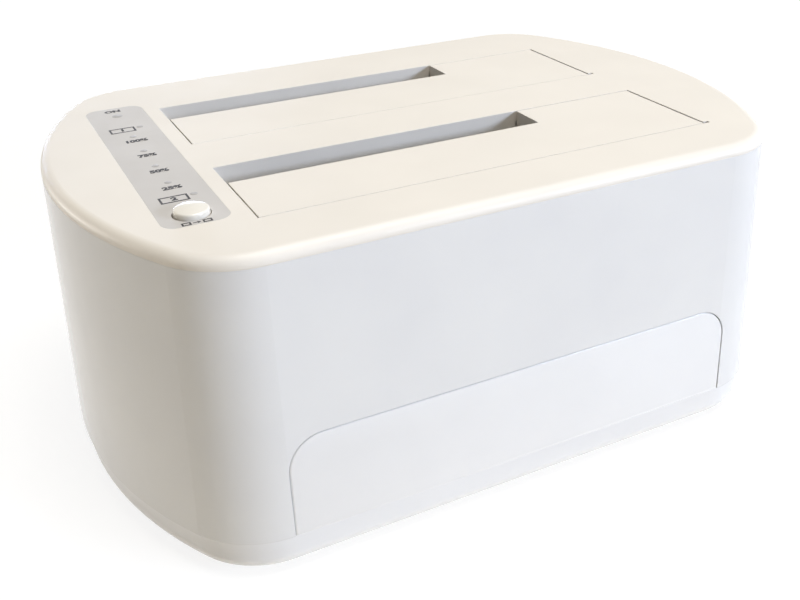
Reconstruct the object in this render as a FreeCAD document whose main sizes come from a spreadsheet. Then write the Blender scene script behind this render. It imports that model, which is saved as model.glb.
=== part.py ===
import FreeCAD, Part
import math
import os
from types import SimpleNamespace

import Sketcher
from FreeCAD import Vector

# A two-bay drive duplicator: a hard-disk dock with a clone button.
# Millimetres. X runs along the case, Y from front to rear, Z up.
# The origin is on the surface that the rubber feet stand on, under the middle of the case.

SIZES = {
    # case, measured on the sharp edge round the top face
    "case_length": 158.3,
    "case_width": 108.6,
    "case_height": 67.9,
    "end_radius": 90.7,
    "corner_radius": 17.2,
    "wall_slope": 0.031,
    "wall": 2.4,
    "rim_radius": 2.2,
    "cover_plate": 2.4,
    "lip_height": 2.0,
    "lip_wall": 1.4,
    "lip_play": 0.15,
    # base tray and feet
    "base_height": 7.75,
    "base_inset": 0.85,
    "base_edge": 3.0,
    "base_plate": 2.2,
    "spigot_height": 2.5,
    "spigot_wall": 1.3,
    "foot_stand": 1.5,
    "foot_seat": 0.6,
    "foot_radius": 5.5,
    "foot_edge": 0.5,
    "foot_end_margin": 23.15,
    "foot_side_margin": 17.3,
    "pillar_side_margin": 24.3,
    "pillar_radius": 3.6,
    "pillar_inset": 8.0,
    "pillar_rib": 1.8,
    "pillar_height": 20.0,
    "vent_length": 26.0,
    "vent_width": 2.0,
    "vent_column_x": 18.2,
    "vent_block": 29.6,
    # front inlay panel
    "panel_length": 104.6,
    "panel_shift": 0.6,
    "panel_drop": 38.4,
    "panel_corner": 7.2,
    "panel_plate": 1.2,
    "panel_gap": 0.25,
    # drive bays: a 3.5 inch opening, with the 2.5 inch slot at its rear left
    "bay_length": 104.0,
    "bay_width": 28.4,
    "bay_label_gap": 3.45,
    "bay_front_margin": 14.425,
    "bay_rear_margin": 21.625,
    "slot_length": 72.1,
    "slot_width": 9.5,
    "collar_depth": 5.0,
    "collar_wall": 1.6,
    # flaps and their hinges
    "flap_gap": 0.3,
    "flap_front_gap": 0.15,
    "flap_end_gap": 0.55,
    "flap_plate": 1.8,
    "flap_skirt": 5.0,
    "skirt_wall": 1.4,
    "hinge_lip": 1.2,
    "hinge_play": 0.3,
    "pin_radius": 0.6,
    "pin_play": 0.05,
    "pin_setback": 0.9,
    "barrel_radius": 1.4,
    "barrel_length": 12.0,
    "barrel_web": 3.0,
    "web_high": 1.0,
    "web_low": 1.25,
    "ear_width": 2.0,
    "groove_width": 3.4,
    "stop_reach": 1.2,
    "stop_length": 20.0,
    "spring_wire": 0.36,
    "spring_coil": 0.7,
    "spring_turns": 3.0,
    "spring_pitch": 0.6,
    # drive cage
    "cage_wall": 1.6,
    "cage_floor": 1.6,
    "cage_clear": 5.0,
    "flap_recess": 4.4,
    "guide_inset": 1.5,
    "cage_ear": 4.2,
    "cage_screw_inset": 12.0,
    "web_inset": 26.0,
    # boards and what they carry
    "board_plate": 1.6,
    "board_left_margin": 23.15,
    "board_right_margin": 17.15,
    "board_front_margin": 12.3,
    "board_rear_margin": 6.3,
    "board_corner": 2.0,
    "standoff_height": 6.0,
    "standoff_radius": 3.0,
    "screw_radius": 1.2,
    "screw_head": 2.5,
    "head_height": 1.8,
    "screw_inset": 4.5,
    "sata_length": 43.4,
    "sata_width": 5.4,
    "sata_reach": 6.5,
    "sata_offset": 31.6,
    "sata_setback": 3.8,
    # rear ports
    "io_left_margin": 43.15,
    "io_right_margin": 25.15,
    "io_sill": 1.0,
    "io_sink": 2.2,
    "io_play": 0.3,
    "io_head": 3.6,
    "jack_inset": 14.0,
    "jack_width": 9.0,
    "jack_height": 11.0,
    "jack_depth": 14.2,
    "jack_bore": 3.15,
    "jack_pin": 1.05,
    "usb_inset": 36.0,
    "usb_width": 12.2,
    "usb_height": 12.6,
    "usb_depth": 17.6,
    "usb_shell": 0.4,
    "switch_inset": 18.0,
    "switch_width": 15.0,
    "switch_height": 10.5,
    "switch_rim": 1.6,
    "switch_flange": 1.4,
    "switch_depth": 12.0,
    "terminal_length": 2.0,
    "terminal_plate": 0.6,
    "terminal_pitch": 5.0,
    "rocker_tilt": 9.0,
    # indicator label, clone button and control board
    "label_margin": 14.6,
    "label_y": 0.45,
    "label_width": 12.9,
    "label_length": 75.3,
    "label_corner": 2.9,
    "label_plate": 0.3,
    "button_inset": 5.3,
    "button_radius": 3.25,
    "button_hole": 3.65,
    "button_proud": 1.45,
    "button_edge": 0.35,
    "button_flange": 4.6,
    "button_guide": 1.2,
    "button_travel": 0.8,
    "lamp_radius": 0.75,
    "power_lamp_radius": 1.2,
    "lamp_play": 0.1,
    "lamp_offset": 2.9,
    "power_lamp_inset": 6.3,
    "source_lamp_inset": 16.4,
    "target_lamp_inset": 14.3,
    "lamp_pitch": 10.13,
    "lamps_shift": 0.05,
    "control_drop": 10.0,
    "control_width": 14.6,
    "control_front_margin": 4.8,
    "control_rear_margin": 1.9,
    "control_hole_inset": 2.5,
    "tact_side": 6.0,
    "tact_height": 3.5,
    "stem_radius": 1.7,
    "stem_height": 1.5,
    "ribbon_width": 9.0,
    "ribbon_thick": 0.8,
    "ribbon_bend": 8.0,
    "header_width": 4.0,
    "header_height": 3.0,
    "stem_root": 1.2,
    "flange_play": 0.3,
    "flange_plate": 1.0,
    "guide_height": 3.0,
    "guide_margin": 1.4,
    "guide_plate": 1.4,
    "guide_foot": 1.6,
    "led_length": 2.0,
    "led_width": 1.25,
    "led_height": 0.8,
    "post_radius": 2.2,
    "boss_radius": 2.8,
    "boss_bore": 3.6,
    "small_screw": 0.8,
    "pillar_bore": 14.0,
    # screws
    "head_ratio": 2.05,
    "head_well": 3.2,
    "base_screw": 12.0,
    "board_screw": 5.0,
    "cage_screw": 5.0,
    "gap_play": 0.3,
    # small parts of the boards and ports
    "chip_side": 12.0,
    "chip_height": 1.2,
    "capacitor_radius": 3.15,
    "capacitor_pitch": 8.2,
    "capacitor_base": 0.8,
    "capacitor_height": 4.6,
    "inductor_side": 6.8,
    "inductor_height": 4.0,
    "crystal_length": 11.0,
    "crystal_width": 4.6,
    "crystal_height": 3.6,
    "usb_back": 5.0,
    "usb_shoulder": 7.8,
    "usb_narrow": 6.1,
    "usb_corner": 0.8,
    "usb_cut": 1.6,
    "tongue_reach": 9.0,
    "tongue_width": 5.6,
    "tongue_plate": 2.8,
    "tongue_rise": 4.0,
    "upper_tongue_width": 4.5,
    "upper_tongue_plate": 0.8,
    "upper_tongue_rise": 10.1,
    "jack_reach": 10.0,
    "io_corner": 2.0,
    "rocker_half": 5.4,
    "rocker_width": 6.8,
    "rocker_play": 0.5,
    "rocker_sink": 1.6,
    "rocker_room": 3.4,
    "rocker_back": 1.8,
    "rocker_crest": 2.3,
    "rocker_dip": 1.5,
    "trunnion_radius": 0.7,
    "trunnion_skin": 0.3,
    "sata_slot": 1.3,
    "sata_end": 2.2,
    "sata_signal": 12.0,
    "sata_power": 22.0,
    # flap and cover details
    "relief_length": 1.2,
    "relief_width": 0.8,
    "ear_skin": 0.3,
    "rib_wall": 1.2,
    "rib_depth": 1.6,
    "spring_leg": 9.0,
    "stop_notch": 12.0,
    "hook_x": 24.0,
    "hook_length": 10.0,
    "hook_height": 0.8,
    "hook_reach": 0.3,
    "hook_play": 0.15,
}

FLAP_RIBS = 3
VENT_ROWS = 7
CAPACITORS = 3
PROGRESS_LAMPS = 4

doc = FreeCAD.newDocument("drive_duplicator")
sheet = doc.addObject("Spreadsheet::Sheet", "sizes")
for row, (alias, number) in enumerate(SIZES.items(), start=1):
    sheet.set(f"A{row}", alias)
    sheet.set(f"B{row}", str(number))
    sheet.setAlias(f"B{row}", alias)
doc.recompute()


class Size:
    """A length held both as a number and as the spreadsheet expression that gives it."""

    def __init__(self, value, text):
        self.value = value
        self.text = text

    def __add__(self, other):
        other = as_size(other)
        return Size(self.value + other.value, f"({self.text} + {other.text})")

    def __sub__(self, other):
        other = as_size(other)
        return Size(self.value - other.value, f"({self.text} - {other.text})")

    def __mul__(self, other):
        other = as_size(other)
        return Size(self.value * other.value, f"({self.text} * {other.text})")

    def __truediv__(self, other):
        other = as_size(other)
        return Size(self.value / other.value, f"({self.text} / {other.text})")

    def __neg__(self):
        return Size(-self.value, f"(-1 * {self.text})")

    def root(self):
        return Size(math.sqrt(self.value), f"sqrt({self.text})")

    __radd__ = __add__
    __rmul__ = __mul__

    def __rsub__(self, other):
        return as_size(other) - self


def as_size(number):
    return number if isinstance(number, Size) else Size(float(number), repr(float(number)))


def bind(target, path, size):
    """Sets a property of a document object from the sheet."""
    target.setExpression(path, as_size(size).text)


s = SimpleNamespace(**{alias: Size(float(getattr(sheet, alias)), f"sizes.{alias}") for alias in SIZES})

# ---------------------------------------------------------------- places worked out from the sizes

top = s.foot_stand + s.case_height
split = top - s.cover_plate
seam = s.foot_stand + s.base_height
split_grow = s.wall_slope * s.cover_plate
seam_grow = s.wall_slope * (top - seam)
inner_split = split_grow - s.wall

# The label stands off the left end, and the bays stand off the label.
label_left = s.label_margin - s.case_length / 2
label_right = label_left + s.label_width
label_front = s.label_y - s.label_length / 2
label_rear = s.label_y + s.label_length / 2
label_x = label_left + s.label_width / 2
button_y = label_front + s.button_inset

bay_left = label_right + s.bay_label_gap
bay_right = bay_left + s.bay_length
bay_centre = bay_left + s.bay_length / 2
slot_right = bay_left + s.slot_length
pin_z = top - s.hinge_lip - s.hinge_play - s.barrel_radius

base_top = s.foot_stand + s.base_plate
board_under = base_top + s.standoff_height
board_top = board_under + s.board_plate
cage_under = board_top + s.cage_clear
cage_deck = cage_under + s.cage_floor
cage_top = top - s.collar_depth
sata_top = cage_deck + s.sata_reach

control_top = top - s.control_drop
control_under = control_top - s.board_plate
label_under = top - s.label_plate
drive_lamp_x = label_x + s.lamp_offset


def bay_places(front):
    """The Y places of one bay, from the front of its 3.5 inch opening."""
    rear = front + s.bay_width
    return SimpleNamespace(
        front=front,
        rear=rear,
        slot_front=rear - s.slot_width,
        pin_y=front - s.pin_setback,
        recess=front - s.flap_recess,
        sata_y=rear - s.sata_setback,
    )


bays = {
    "front": bay_places(s.bay_front_margin - s.case_width / 2),
    "rear": bay_places(s.case_width / 2 - s.bay_rear_margin - s.bay_width),
}

# ---------------------------------------------------------------- sketching


def new_body(label):
    body = doc.addObject("PartDesign::Body", label)
    body.Label = label
    return body


def new_sketch(body, name, role="XY_Plane", offset=0.0):
    """A sketch on one of the body's origin planes, moved along the plane's normal."""
    sketch = body.newObject("Sketcher::SketchObject", name)
    plane = next(item for item in body.Origin.OriginFeatures if item.Role == role)
    sketch.AttachmentSupport = (plane, [""])
    sketch.MapMode = "FlatFace"
    bind(sketch, "AttachmentOffset.Base.z", offset)
    return sketch


def constrain(sketch, joins, holds):
    """Adds plain constraints, then dimensions, each (constraint, size), that follow the sheet."""
    sketch.addConstraint([Sketcher.Constraint(*item) for item in joins])
    rules = [Sketcher.Constraint(*item, as_size(at).value) for item, at in holds]
    for number, (_, at) in zip(sketch.addConstraint(rules), holds):
        bind(sketch, f"Constraints[{number}]", at)


def draw_polygon(sketch, *corners):
    """A closed outline through the corners, each an (x, y) pair of sizes."""
    points = [Vector(as_size(x).value, as_size(y).value, 0) for x, y in corners]
    first = sketch.GeometryCount
    count = len(points)
    ends = zip(points, points[1:] + points[:1])
    sketch.addGeometry([Part.LineSegment(start, end) for start, end in ends])
    joins = [("Coincident", first + (n - 1) % count, 2, first + n, 1) for n in range(count)]
    holds = [(("DistanceX", first + n, 1), x) for n, (x, _) in enumerate(corners)]
    holds += [(("DistanceY", first + n, 1), y) for n, (_, y) in enumerate(corners)]
    constrain(sketch, joins, holds)


def draw_rectangle(sketch, left, right, low, high):
    draw_polygon(sketch, (left, low), (right, low), (right, high), (left, high))


def draw_circle(sketch, x, y, radius):
    centre = Vector(as_size(x).value, as_size(y).value, 0)
    number = sketch.addGeometry(Part.Circle(centre, Vector(0, 0, 1), as_size(radius).value))
    holds = [(("DistanceX", number, 3), x), (("DistanceY", number, 3), y), (("Radius", number), radius)]
    constrain(sketch, [], holds)


def arc(x, y, radius, start, end):
    circle = Part.Circle(Vector(x, y, 0), Vector(0, 0, 1), radius)
    return Part.ArcOfCircle(circle, start, end)


def line(x0, y0, x1, y1):
    return Part.LineSegment(Vector(x0, y0, 0), Vector(x1, y1, 0))


def draw_round_rectangle(sketch, left, right, low, high, radius):
    """A rectangle with round corners, drawn anticlockwise from its lower side."""
    x0, x1, y0, y1, r = (as_size(size).value for size in (left, right, low, high, radius))
    quarter = math.pi / 2
    first = sketch.GeometryCount
    shapes = [
        line(x0 + r, y0, x1 - r, y0),
        arc(x1 - r, y0 + r, r, -quarter, 0),
        line(x1, y0 + r, x1, y1 - r),
        arc(x1 - r, y1 - r, r, 0, quarter),
        line(x1 - r, y1, x0 + r, y1),
        arc(x0 + r, y1 - r, r, quarter, 2 * quarter),
        line(x0, y1 - r, x0, y0 + r),
        arc(x0 + r, y0 + r, r, 2 * quarter, 3 * quarter),
    ]
    sketch.addGeometry(shapes)
    joins = [("Tangent", first + n, 2, first + (n + 1) % 8, 1) for n in range(8)]
    joins += [("Horizontal", first), ("Vertical", first + 2)]
    joins += [("Horizontal", first + 4), ("Vertical", first + 6)]
    joins += [("Equal", first + 1, first + n) for n in (3, 5, 7)]
    holds = [
        (("DistanceY", first, 1), low),
        (("DistanceX", first + 2, 1), right),
        (("DistanceY", first + 4, 1), high),
        (("DistanceX", first + 6, 1), left),
        (("Radius", first + 1), radius),
    ]
    constrain(sketch, joins, holds)


def draw_arch(sketch, left, right, low, high, radius):
    """A rectangle with square lower corners and round upper ones."""
    x0, x1, y0, y1, r = (as_size(size).value for size in (left, right, low, high, radius))
    quarter = math.pi / 2
    shapes = [
        line(x0, y0, x1, y0),
        line(x1, y0, x1, y1 - r),
        arc(x1 - r, y1 - r, r, 0, quarter),
        line(x1 - r, y1, x0 + r, y1),
        arc(x0 + r, y1 - r, r, quarter, 2 * quarter),
        line(x0, y1 - r, x0, y0),
    ]
    sketch.addGeometry(shapes)
    joins = [("Coincident", 0, 2, 1, 1), ("Coincident", 5, 2, 0, 1), ("Equal", 2, 4)]
    joins += [("Tangent", n, 2, n + 1, 1) for n in range(1, 5)]
    joins += [("Horizontal", 0), ("Vertical", 1), ("Horizontal", 3), ("Vertical", 5)]
    holds = [
        (("DistanceX", 0, 1), left),
        (("DistanceX", 0, 2), right),
        (("DistanceY", 0, 1), low),
        (("DistanceY", 3, 1), high),
        (("Radius", 2), radius),
    ]
    constrain(sketch, joins, holds)


def draw_plan(sketch, grow):
    """The case's plan: straight front and rear, arc ends, round corners, grown all round."""
    half_length = s.case_length / 2 + grow
    half_width = s.case_width / 2 + grow
    end_radius = s.end_radius + grow
    corner_radius = s.corner_radius + grow
    big, small = end_radius.value, corner_radius.value
    end_x = half_length.value - big
    corner_y = half_width.value - small
    corner_x = end_x + math.sqrt((big - small) ** 2 - corner_y**2)
    turn = math.atan2(corner_y, corner_x - end_x)
    quarter = math.pi / 2
    low, high = -half_width.value, half_width.value
    first = sketch.GeometryCount
    shapes = [
        line(-corner_x, low, corner_x, low),
        arc(corner_x, -corner_y, small, -quarter, -turn),
        arc(end_x, 0, big, -turn, turn),
        arc(corner_x, corner_y, small, turn, quarter),
        line(corner_x, high, -corner_x, high),
        arc(-corner_x, corner_y, small, quarter, math.pi - turn),
        arc(-end_x, 0, big, math.pi - turn, math.pi + turn),
        arc(-corner_x, -corner_y, small, math.pi + turn, 3 * quarter),
    ]
    sketch.addGeometry(shapes)
    joins = [("Tangent", first + n, 2, first + (n + 1) % 8, 1) for n in range(8)]
    joins += [("Horizontal", first), ("Horizontal", first + 4)]
    joins += [("PointOnObject", first + 2, 3, -1), ("PointOnObject", first + 6, 3, -1)]
    joins += [("Equal", first + 1, first + n) for n in (3, 5, 7)]
    holds = [
        (("DistanceY", first, 1), -half_width),
        (("DistanceY", first + 4, 1), half_width),
        (("Radius", first + 1), corner_radius),
        (("DistanceX", first + 2, 3), half_length - end_radius),
        (("Radius", first + 2), end_radius),
        (("DistanceX", first + 6, 3), end_radius - half_length),
        (("Radius", first + 6), end_radius),
    ]
    constrain(sketch, joins, holds)


# ---------------------------------------------------------------- features


def pad(body, sketch, length, down=False, leaning=False):
    """Pads along the sketch's normal, or against it, with the case's lean where asked."""
    feature = body.newObject("PartDesign::Pad", sketch.Name + "_pad")
    feature.Profile = sketch
    feature.Reversed = down
    bind(feature, "Length", length)
    if leaning:
        feature.setExpression("TaperAngle", f"atan({s.wall_slope.text})")
    doc.recompute()
    return feature


def pocket(body, sketch, length, up=False, leaning=False):
    """Cuts against the sketch's normal, or along it, and stops if it cuts nothing."""
    before = body.Shape.Volume
    feature = body.newObject("PartDesign::Pocket", sketch.Name + "_cut")
    feature.Profile = sketch
    feature.Reversed = up
    bind(feature, "Length", length)
    if leaning:
        feature.setExpression("TaperAngle", f"atan({s.wall_slope.text})")
    doc.recompute()
    if not body.Shape.Volume < before:
        raise RuntimeError(f"{sketch.Name} cuts nothing")
    return feature


def fillet(body, base, edges, radius, kind="PartDesign::Fillet"):
    feature = body.newObject(kind, f"{base.Name}_{kind[12:].lower()}")
    feature.Base = (base, edges)
    bind(feature, "Radius" if kind.endswith("Fillet") else "Size", radius)
    doc.recompute()
    return feature


def edges_where(shape, test):
    """Names of the edges whose every sampled point passes the test."""
    names = []
    for number, edge in enumerate(shape.Edges, start=1):
        points = edge.discretize(5)
        if all(test(point) for point in points):
            names.append(f"Edge{number}")
    if not names:
        raise RuntimeError("no edge passes the test")
    return names


def level_edges(shape, height):
    z = as_size(height).value
    return edges_where(shape, lambda point: abs(point.z - z) < 0.001)


def plan_pad(body, name, height, grow, length, inner=None, down=False, leaning=False):
    """A slab of the case's plan, or a ring of it where an inner growth is given."""
    sketch = new_sketch(body, name, offset=height)
    draw_plan(sketch, grow)
    if inner is not None:
        draw_plan(sketch, inner)
    return pad(body, sketch, length, down, leaning)


def plan_cut(body, name, height, grow, length, leaning=False):
    """Hollows the case's plan downwards from a height."""
    sketch = new_sketch(body, name, offset=height)
    draw_plan(sketch, grow)
    return pocket(body, sketch, length, leaning=leaning)


def block_pad(body, name, height, length, *boxes, down=False):
    """Pads rectangles, each (left, right, low, high), from a height."""
    sketch = new_sketch(body, name, offset=height)
    for box in boxes:
        draw_rectangle(sketch, *box)
    return pad(body, sketch, length, down)


def block_cut(body, name, height, length, *boxes, up=False):
    sketch = new_sketch(body, name, offset=height)
    for box in boxes:
        draw_rectangle(sketch, *box)
    return pocket(body, sketch, length, up)


def round_pad(body, name, height, length, *rounds, down=False):
    """Pads circles, each (x, y, radius), from a height."""
    sketch = new_sketch(body, name, offset=height)
    for circle in rounds:
        draw_circle(sketch, *circle)
    return pad(body, sketch, length, down)


def round_cut(body, name, height, length, *rounds, up=False):
    sketch = new_sketch(body, name, offset=height)
    for circle in rounds:
        draw_circle(sketch, *circle)
    return pocket(body, sketch, length, up)


def side_sketch(body, name, x):
    """A sketch in a plane across the case: its x is Y and its y is Z."""
    return new_sketch(body, name, "YZ_Plane", x)


def rear_sketch(body, name, y):
    """A sketch in a plane along the case: its x is X and its y is Z, and pads run to the front."""
    return new_sketch(body, name, "XZ_Plane", -as_size(y))


def corners(x, y):
    """The four places (x, y), (-x, y), (x, -y) and (-x, -y)."""
    return [(x, y), (-x, y), (x, -y), (-x, -y)]


# ---------------------------------------------------------------- places that several pieces share

# The base screws stand in pillars, each tied to the housing's end wall by a rib.
pillar_y = s.case_width / 2 - s.pillar_side_margin
pillar_fall = s.end_radius - (s.end_radius * s.end_radius - pillar_y * pillar_y).root()
pillar_wall = s.case_length / 2 - pillar_fall + seam_grow - s.wall / 2
pillar_x = pillar_wall - s.pillar_inset
pillars = corners(pillar_x, pillar_y)
feet = corners(s.case_length / 2 - s.foot_end_margin, s.case_width / 2 - s.foot_side_margin)

board_left = s.board_left_margin - s.case_length / 2
board_right = s.case_length / 2 - s.board_right_margin
board_front = s.board_front_margin - s.case_width / 2
board_rear = s.case_width / 2 - s.board_rear_margin

board_screws = [
    (x, y)
    for x in (board_left + s.screw_inset, board_right - s.screw_inset)
    for y in (board_front + s.screw_inset, board_rear - s.screw_inset)
]

cage_left = bay_left - s.cage_wall
cage_right = bay_right + s.cage_wall
cage_front = bays["front"].recess - s.cage_wall
cage_rear = bays["rear"].rear + s.cage_wall
cage_screws = [
    (bay_left + s.cage_screw_inset, cage_front - s.cage_ear / 2),
    (bay_right - s.cage_screw_inset, cage_front - s.cage_ear / 2),
    (bay_left + s.cage_screw_inset, cage_rear + s.cage_ear),
    (slot_right - s.cage_screw_inset, cage_rear + s.cage_ear),
]

# The rear ports stand in a sunk strip of the rear wall, all on the main board.
io_floor = s.case_width / 2 + seam_grow - s.io_sink
io_left = s.io_left_margin - s.case_length / 2
io_right = s.case_length / 2 - s.io_right_margin
io_low = seam + s.io_sill
io_high = board_top + s.usb_height + s.io_head
jack_x = io_right - s.jack_inset
jack_z = board_top + s.jack_height / 2
usb_x = io_right - s.usb_inset
switch_x = io_left + s.switch_inset
switch_z = (io_low + io_high) / 2

# One power lamp, a row of progress lamps, and a lamp for each drive at the row's ends.
power_lamp_y = label_rear - s.power_lamp_inset
source_lamp_y = label_rear - s.source_lamp_inset
target_lamp_y = label_front + s.target_lamp_inset
first_lamp_y = s.label_y - s.lamps_shift - s.lamp_pitch * (PROGRESS_LAMPS - 1) / 2
lamps = [(label_x, power_lamp_y, s.power_lamp_radius)]
lamps += [(label_x, first_lamp_y + s.lamp_pitch * number, s.lamp_radius) for number in range(PROGRESS_LAMPS)]
lamps += [(drive_lamp_x, y, s.lamp_radius) for y in (source_lamp_y, target_lamp_y)]

control_left = label_x - s.control_width / 2
control_right = label_x + s.control_width / 2
control_front = label_front - s.control_front_margin
control_rear = label_rear + s.control_rear_margin
control_screws = [
    (label_x, control_rear - s.control_hole_inset),
    (control_left + s.control_hole_inset, target_lamp_y),
]


# ---------------------------------------------------------------- case


def make_top_cover():
    body = new_body("top_cover")
    slab = plan_pad(body, "cover_slab", top, as_size(0), s.cover_plate, down=True, leaning=True)
    fillet(body, slab, level_edges(slab.Shape, top), s.rim_radius)
    cover_openings(body)
    lip_outer = inner_split - s.lip_play
    plan_pad(body, "cover_lip", split, lip_outer, s.lip_height, lip_outer - s.lip_wall, down=True)
    block_pad(body, "hooks", split - s.lip_height, s.hook_height, *hook_boxes(as_size(0)))
    cover_collars(body)
    cover_ears(body)
    cover_label_seat(body)
    return body


def hook_boxes(play):
    """Plan boxes of the hooks on the cover's lip, which click into catches in the housing."""
    root = s.case_width / 2 + inner_split - s.lip_play - s.lip_wall / 2
    tip = s.case_width / 2 + inner_split + s.hook_reach + play
    half = s.hook_length / 2 + play
    rear = [(x - half, x + half, root, tip) for x in (s.hook_x, -s.hook_x)]
    return rear + [(left, right, -tip, -root) for left, right, _, _ in rear]


def cover_openings(body):
    """The two bay openings, each with a relief at the flap's front right corner, and the hinge grooves."""
    opening = new_sketch(body, "bay_openings", offset=top)
    groove = new_sketch(body, "hinge_grooves", offset=split)
    for bay in bays.values():
        draw_polygon(
            opening,
            (bay_left, bay.front),
            (bay_right + s.relief_length, bay.front),
            (bay_right + s.relief_length, bay.front + s.relief_width),
            (bay_right, bay.front + s.relief_width),
            (bay_right, bay.rear),
            (bay_left, bay.rear),
        )
        draw_rectangle(groove, bay_left, bay_right, bay.front - s.groove_width, bay.front)
    pocket(body, opening, s.cover_plate)
    pocket(body, groove, s.cover_plate - s.hinge_lip, up=True)


def cover_collars(body):
    """Skirts round the openings that lead a drive down into the cage."""
    sketch = new_sketch(body, "collars", offset=split)
    for bay in bays.values():
        low = bay.front + s.relief_width
        high = bay.rear + s.collar_wall
        draw_polygon(
            sketch,
            (bay_left - s.collar_wall, low),
            (bay_left, low),
            (bay_left, bay.rear),
            (slot_right, bay.rear),
            (slot_right, high),
            (bay_left - s.collar_wall, high),
        )
        draw_rectangle(sketch, bay_right, bay_right + s.collar_wall, low, high)
    pad(body, sketch, s.collar_depth - s.cover_plate, down=True)


def cover_ears(body):
    """Three ears under each front lip carry the hinge pin, and bosses take the cage's screws."""
    ears = new_sketch(body, "hinge_ears", offset=pin_z - s.barrel_radius)
    for bay in bays.values():
        low, high = bay.pin_y - s.barrel_radius, bay.pin_y + s.pin_radius + s.ear_skin
        half = s.ear_width / 2
        draw_rectangle(ears, bay_left - s.ear_width, bay_left, low, high)
        draw_rectangle(ears, bay_centre - half, bay_centre + half, low, high)
        draw_rectangle(ears, bay_right, bay_right + s.ear_width, low, high)
    pad(body, ears, s.barrel_radius * 2 + s.hinge_play)
    bores = side_sketch(body, "pin_bores", bay_left - s.ear_width)
    for bay in bays.values():
        draw_circle(bores, bay.pin_y, pin_z, s.pin_radius)
    pocket(body, bores, s.bay_length + s.ear_width * 2, up=True)
    bosses = [(x, y, s.boss_radius) for x, y in cage_screws]
    round_pad(body, "cage_bosses", split, s.collar_depth - s.cover_plate, *bosses, down=True)
    pilots = [(x, y, s.screw_radius) for x, y in cage_screws]
    round_cut(body, "cage_pilots", cage_top, s.boss_bore, *pilots, up=True)


def cover_label_seat(body):
    """The label's shallow seat, the lamp and button holes, and what hangs under them."""
    seat = new_sketch(body, "label_seat", offset=top)
    draw_round_rectangle(seat, label_left, label_right, label_front, label_rear, s.label_corner)
    pocket(body, seat, s.label_plate)
    holes = [(x, y, radius + s.lamp_play) for x, y, radius in lamps]
    holes.append((label_x, button_y, s.button_hole))
    round_cut(body, "label_holes", top, s.cover_plate, *holes)
    guide_inner = s.button_flange + s.flange_play
    guide = [(label_x, button_y, guide_inner), (label_x, button_y, guide_inner + s.button_guide)]
    round_pad(body, "button_guide", split, s.guide_height, *guide, down=True)
    posts = [(x, y, s.post_radius) for x, y in control_screws]
    round_pad(body, "control_posts", split, split - control_top, *posts, down=True)
    pilots = [(x, y, s.small_screw) for x, y in control_screws]
    round_cut(body, "control_pilots", control_top, s.boss_bore, *pilots, up=True)


def make_main_housing():
    body = new_body("main_housing")
    tall = split - seam
    plan_pad(body, "housing_outer", split, split_grow, tall, down=True, leaning=True)
    plan_cut(body, "housing_inner", split, inner_split, tall, leaning=True)
    rounds = [(x, y, s.pillar_radius) for x, y in pillars]
    round_pad(body, "pillars", seam, s.pillar_height, *rounds)
    block_pad(body, "pillar_ribs", seam, s.pillar_height, *rib_boxes(as_size(0)))
    pilots = [(x, y, s.screw_radius) for x, y in pillars]
    round_cut(body, "pillar_pilots", seam, s.pillar_bore, *pilots, up=True)
    catch_low = split - s.lip_height - s.hook_play
    catches = hook_boxes(s.hook_play)
    block_cut(body, "catches", catch_low, s.hook_height + s.hook_play * 2, *catches, up=True)
    panel_cut = panel_sketch(body, "panel_seat", s.panel_gap)
    pocket(body, panel_cut, s.panel_plate)
    housing_ports(body)
    return body


def rib_boxes(play):
    """Plan boxes of the ribs from the pillars to the end walls, with play all round."""
    half = s.pillar_rib / 2 + play
    right = [(pillar_x, pillar_wall, y - half, y + half) for y in (pillar_y, -pillar_y)]
    return right + [(-high, -low, front, rear) for low, high, front, rear in right]


def housing_ports(body):
    """The wall steps in behind a sunk strip, through which the ports and the switch look out."""
    left, right = io_left - s.wall, io_right + s.wall
    box = (left, right, io_floor - s.wall, s.case_width / 2)
    block_pad(body, "port_backing", seam, io_high + s.wall - seam, box)
    strip = rear_sketch(body, "port_strip", io_floor)
    draw_round_rectangle(strip, io_left, io_right, io_low, io_high, s.io_corner)
    pocket(body, strip, s.io_sink * 2)
    holes = rear_sketch(body, "port_holes", io_floor)
    play = s.io_play
    half = s.jack_width / 2 + play
    draw_rectangle(holes, jack_x - half, jack_x + half, board_top - play, board_top + s.jack_height + play)
    half = s.usb_width / 2 + play
    draw_rectangle(holes, usb_x - half, usb_x + half, board_top - play, board_top + s.usb_height + play)
    half_x = s.switch_width / 2 - s.switch_rim + play
    half_z = s.switch_height / 2 - s.switch_rim / 2 + play
    draw_rectangle(holes, switch_x - half_x, switch_x + half_x, switch_z - half_z, switch_z + half_z)
    pocket(body, holes, s.wall * 2, up=True)


def panel_sketch(body, name, gap):
    """The inlay panel's outline in the leaning plane of the front wall."""
    sketch = new_sketch(body, name, "XZ_Plane", s.case_width / 2 + seam_grow)
    bind(sketch, "AttachmentOffset.Base.y", seam)
    sketch.setExpression("AttachmentOffset.Rotation.Axis.x", "1")
    sketch.setExpression("AttachmentOffset.Rotation.Axis.z", "0")
    sketch.setExpression("AttachmentOffset.Rotation.Angle", f"-atan({s.wall_slope.text})")
    doc.recompute()
    half = s.panel_length / 2 + gap
    high = top - s.panel_drop - seam + gap
    left, right = s.panel_shift - half, s.panel_shift + half
    draw_arch(sketch, left, right, as_size(0), high, s.panel_corner + gap)
    return sketch


def make_front_panel():
    body = new_body("front_panel")
    pad(body, panel_sketch(body, "panel_plate", as_size(0)), s.panel_plate, down=True)
    return body


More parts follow.
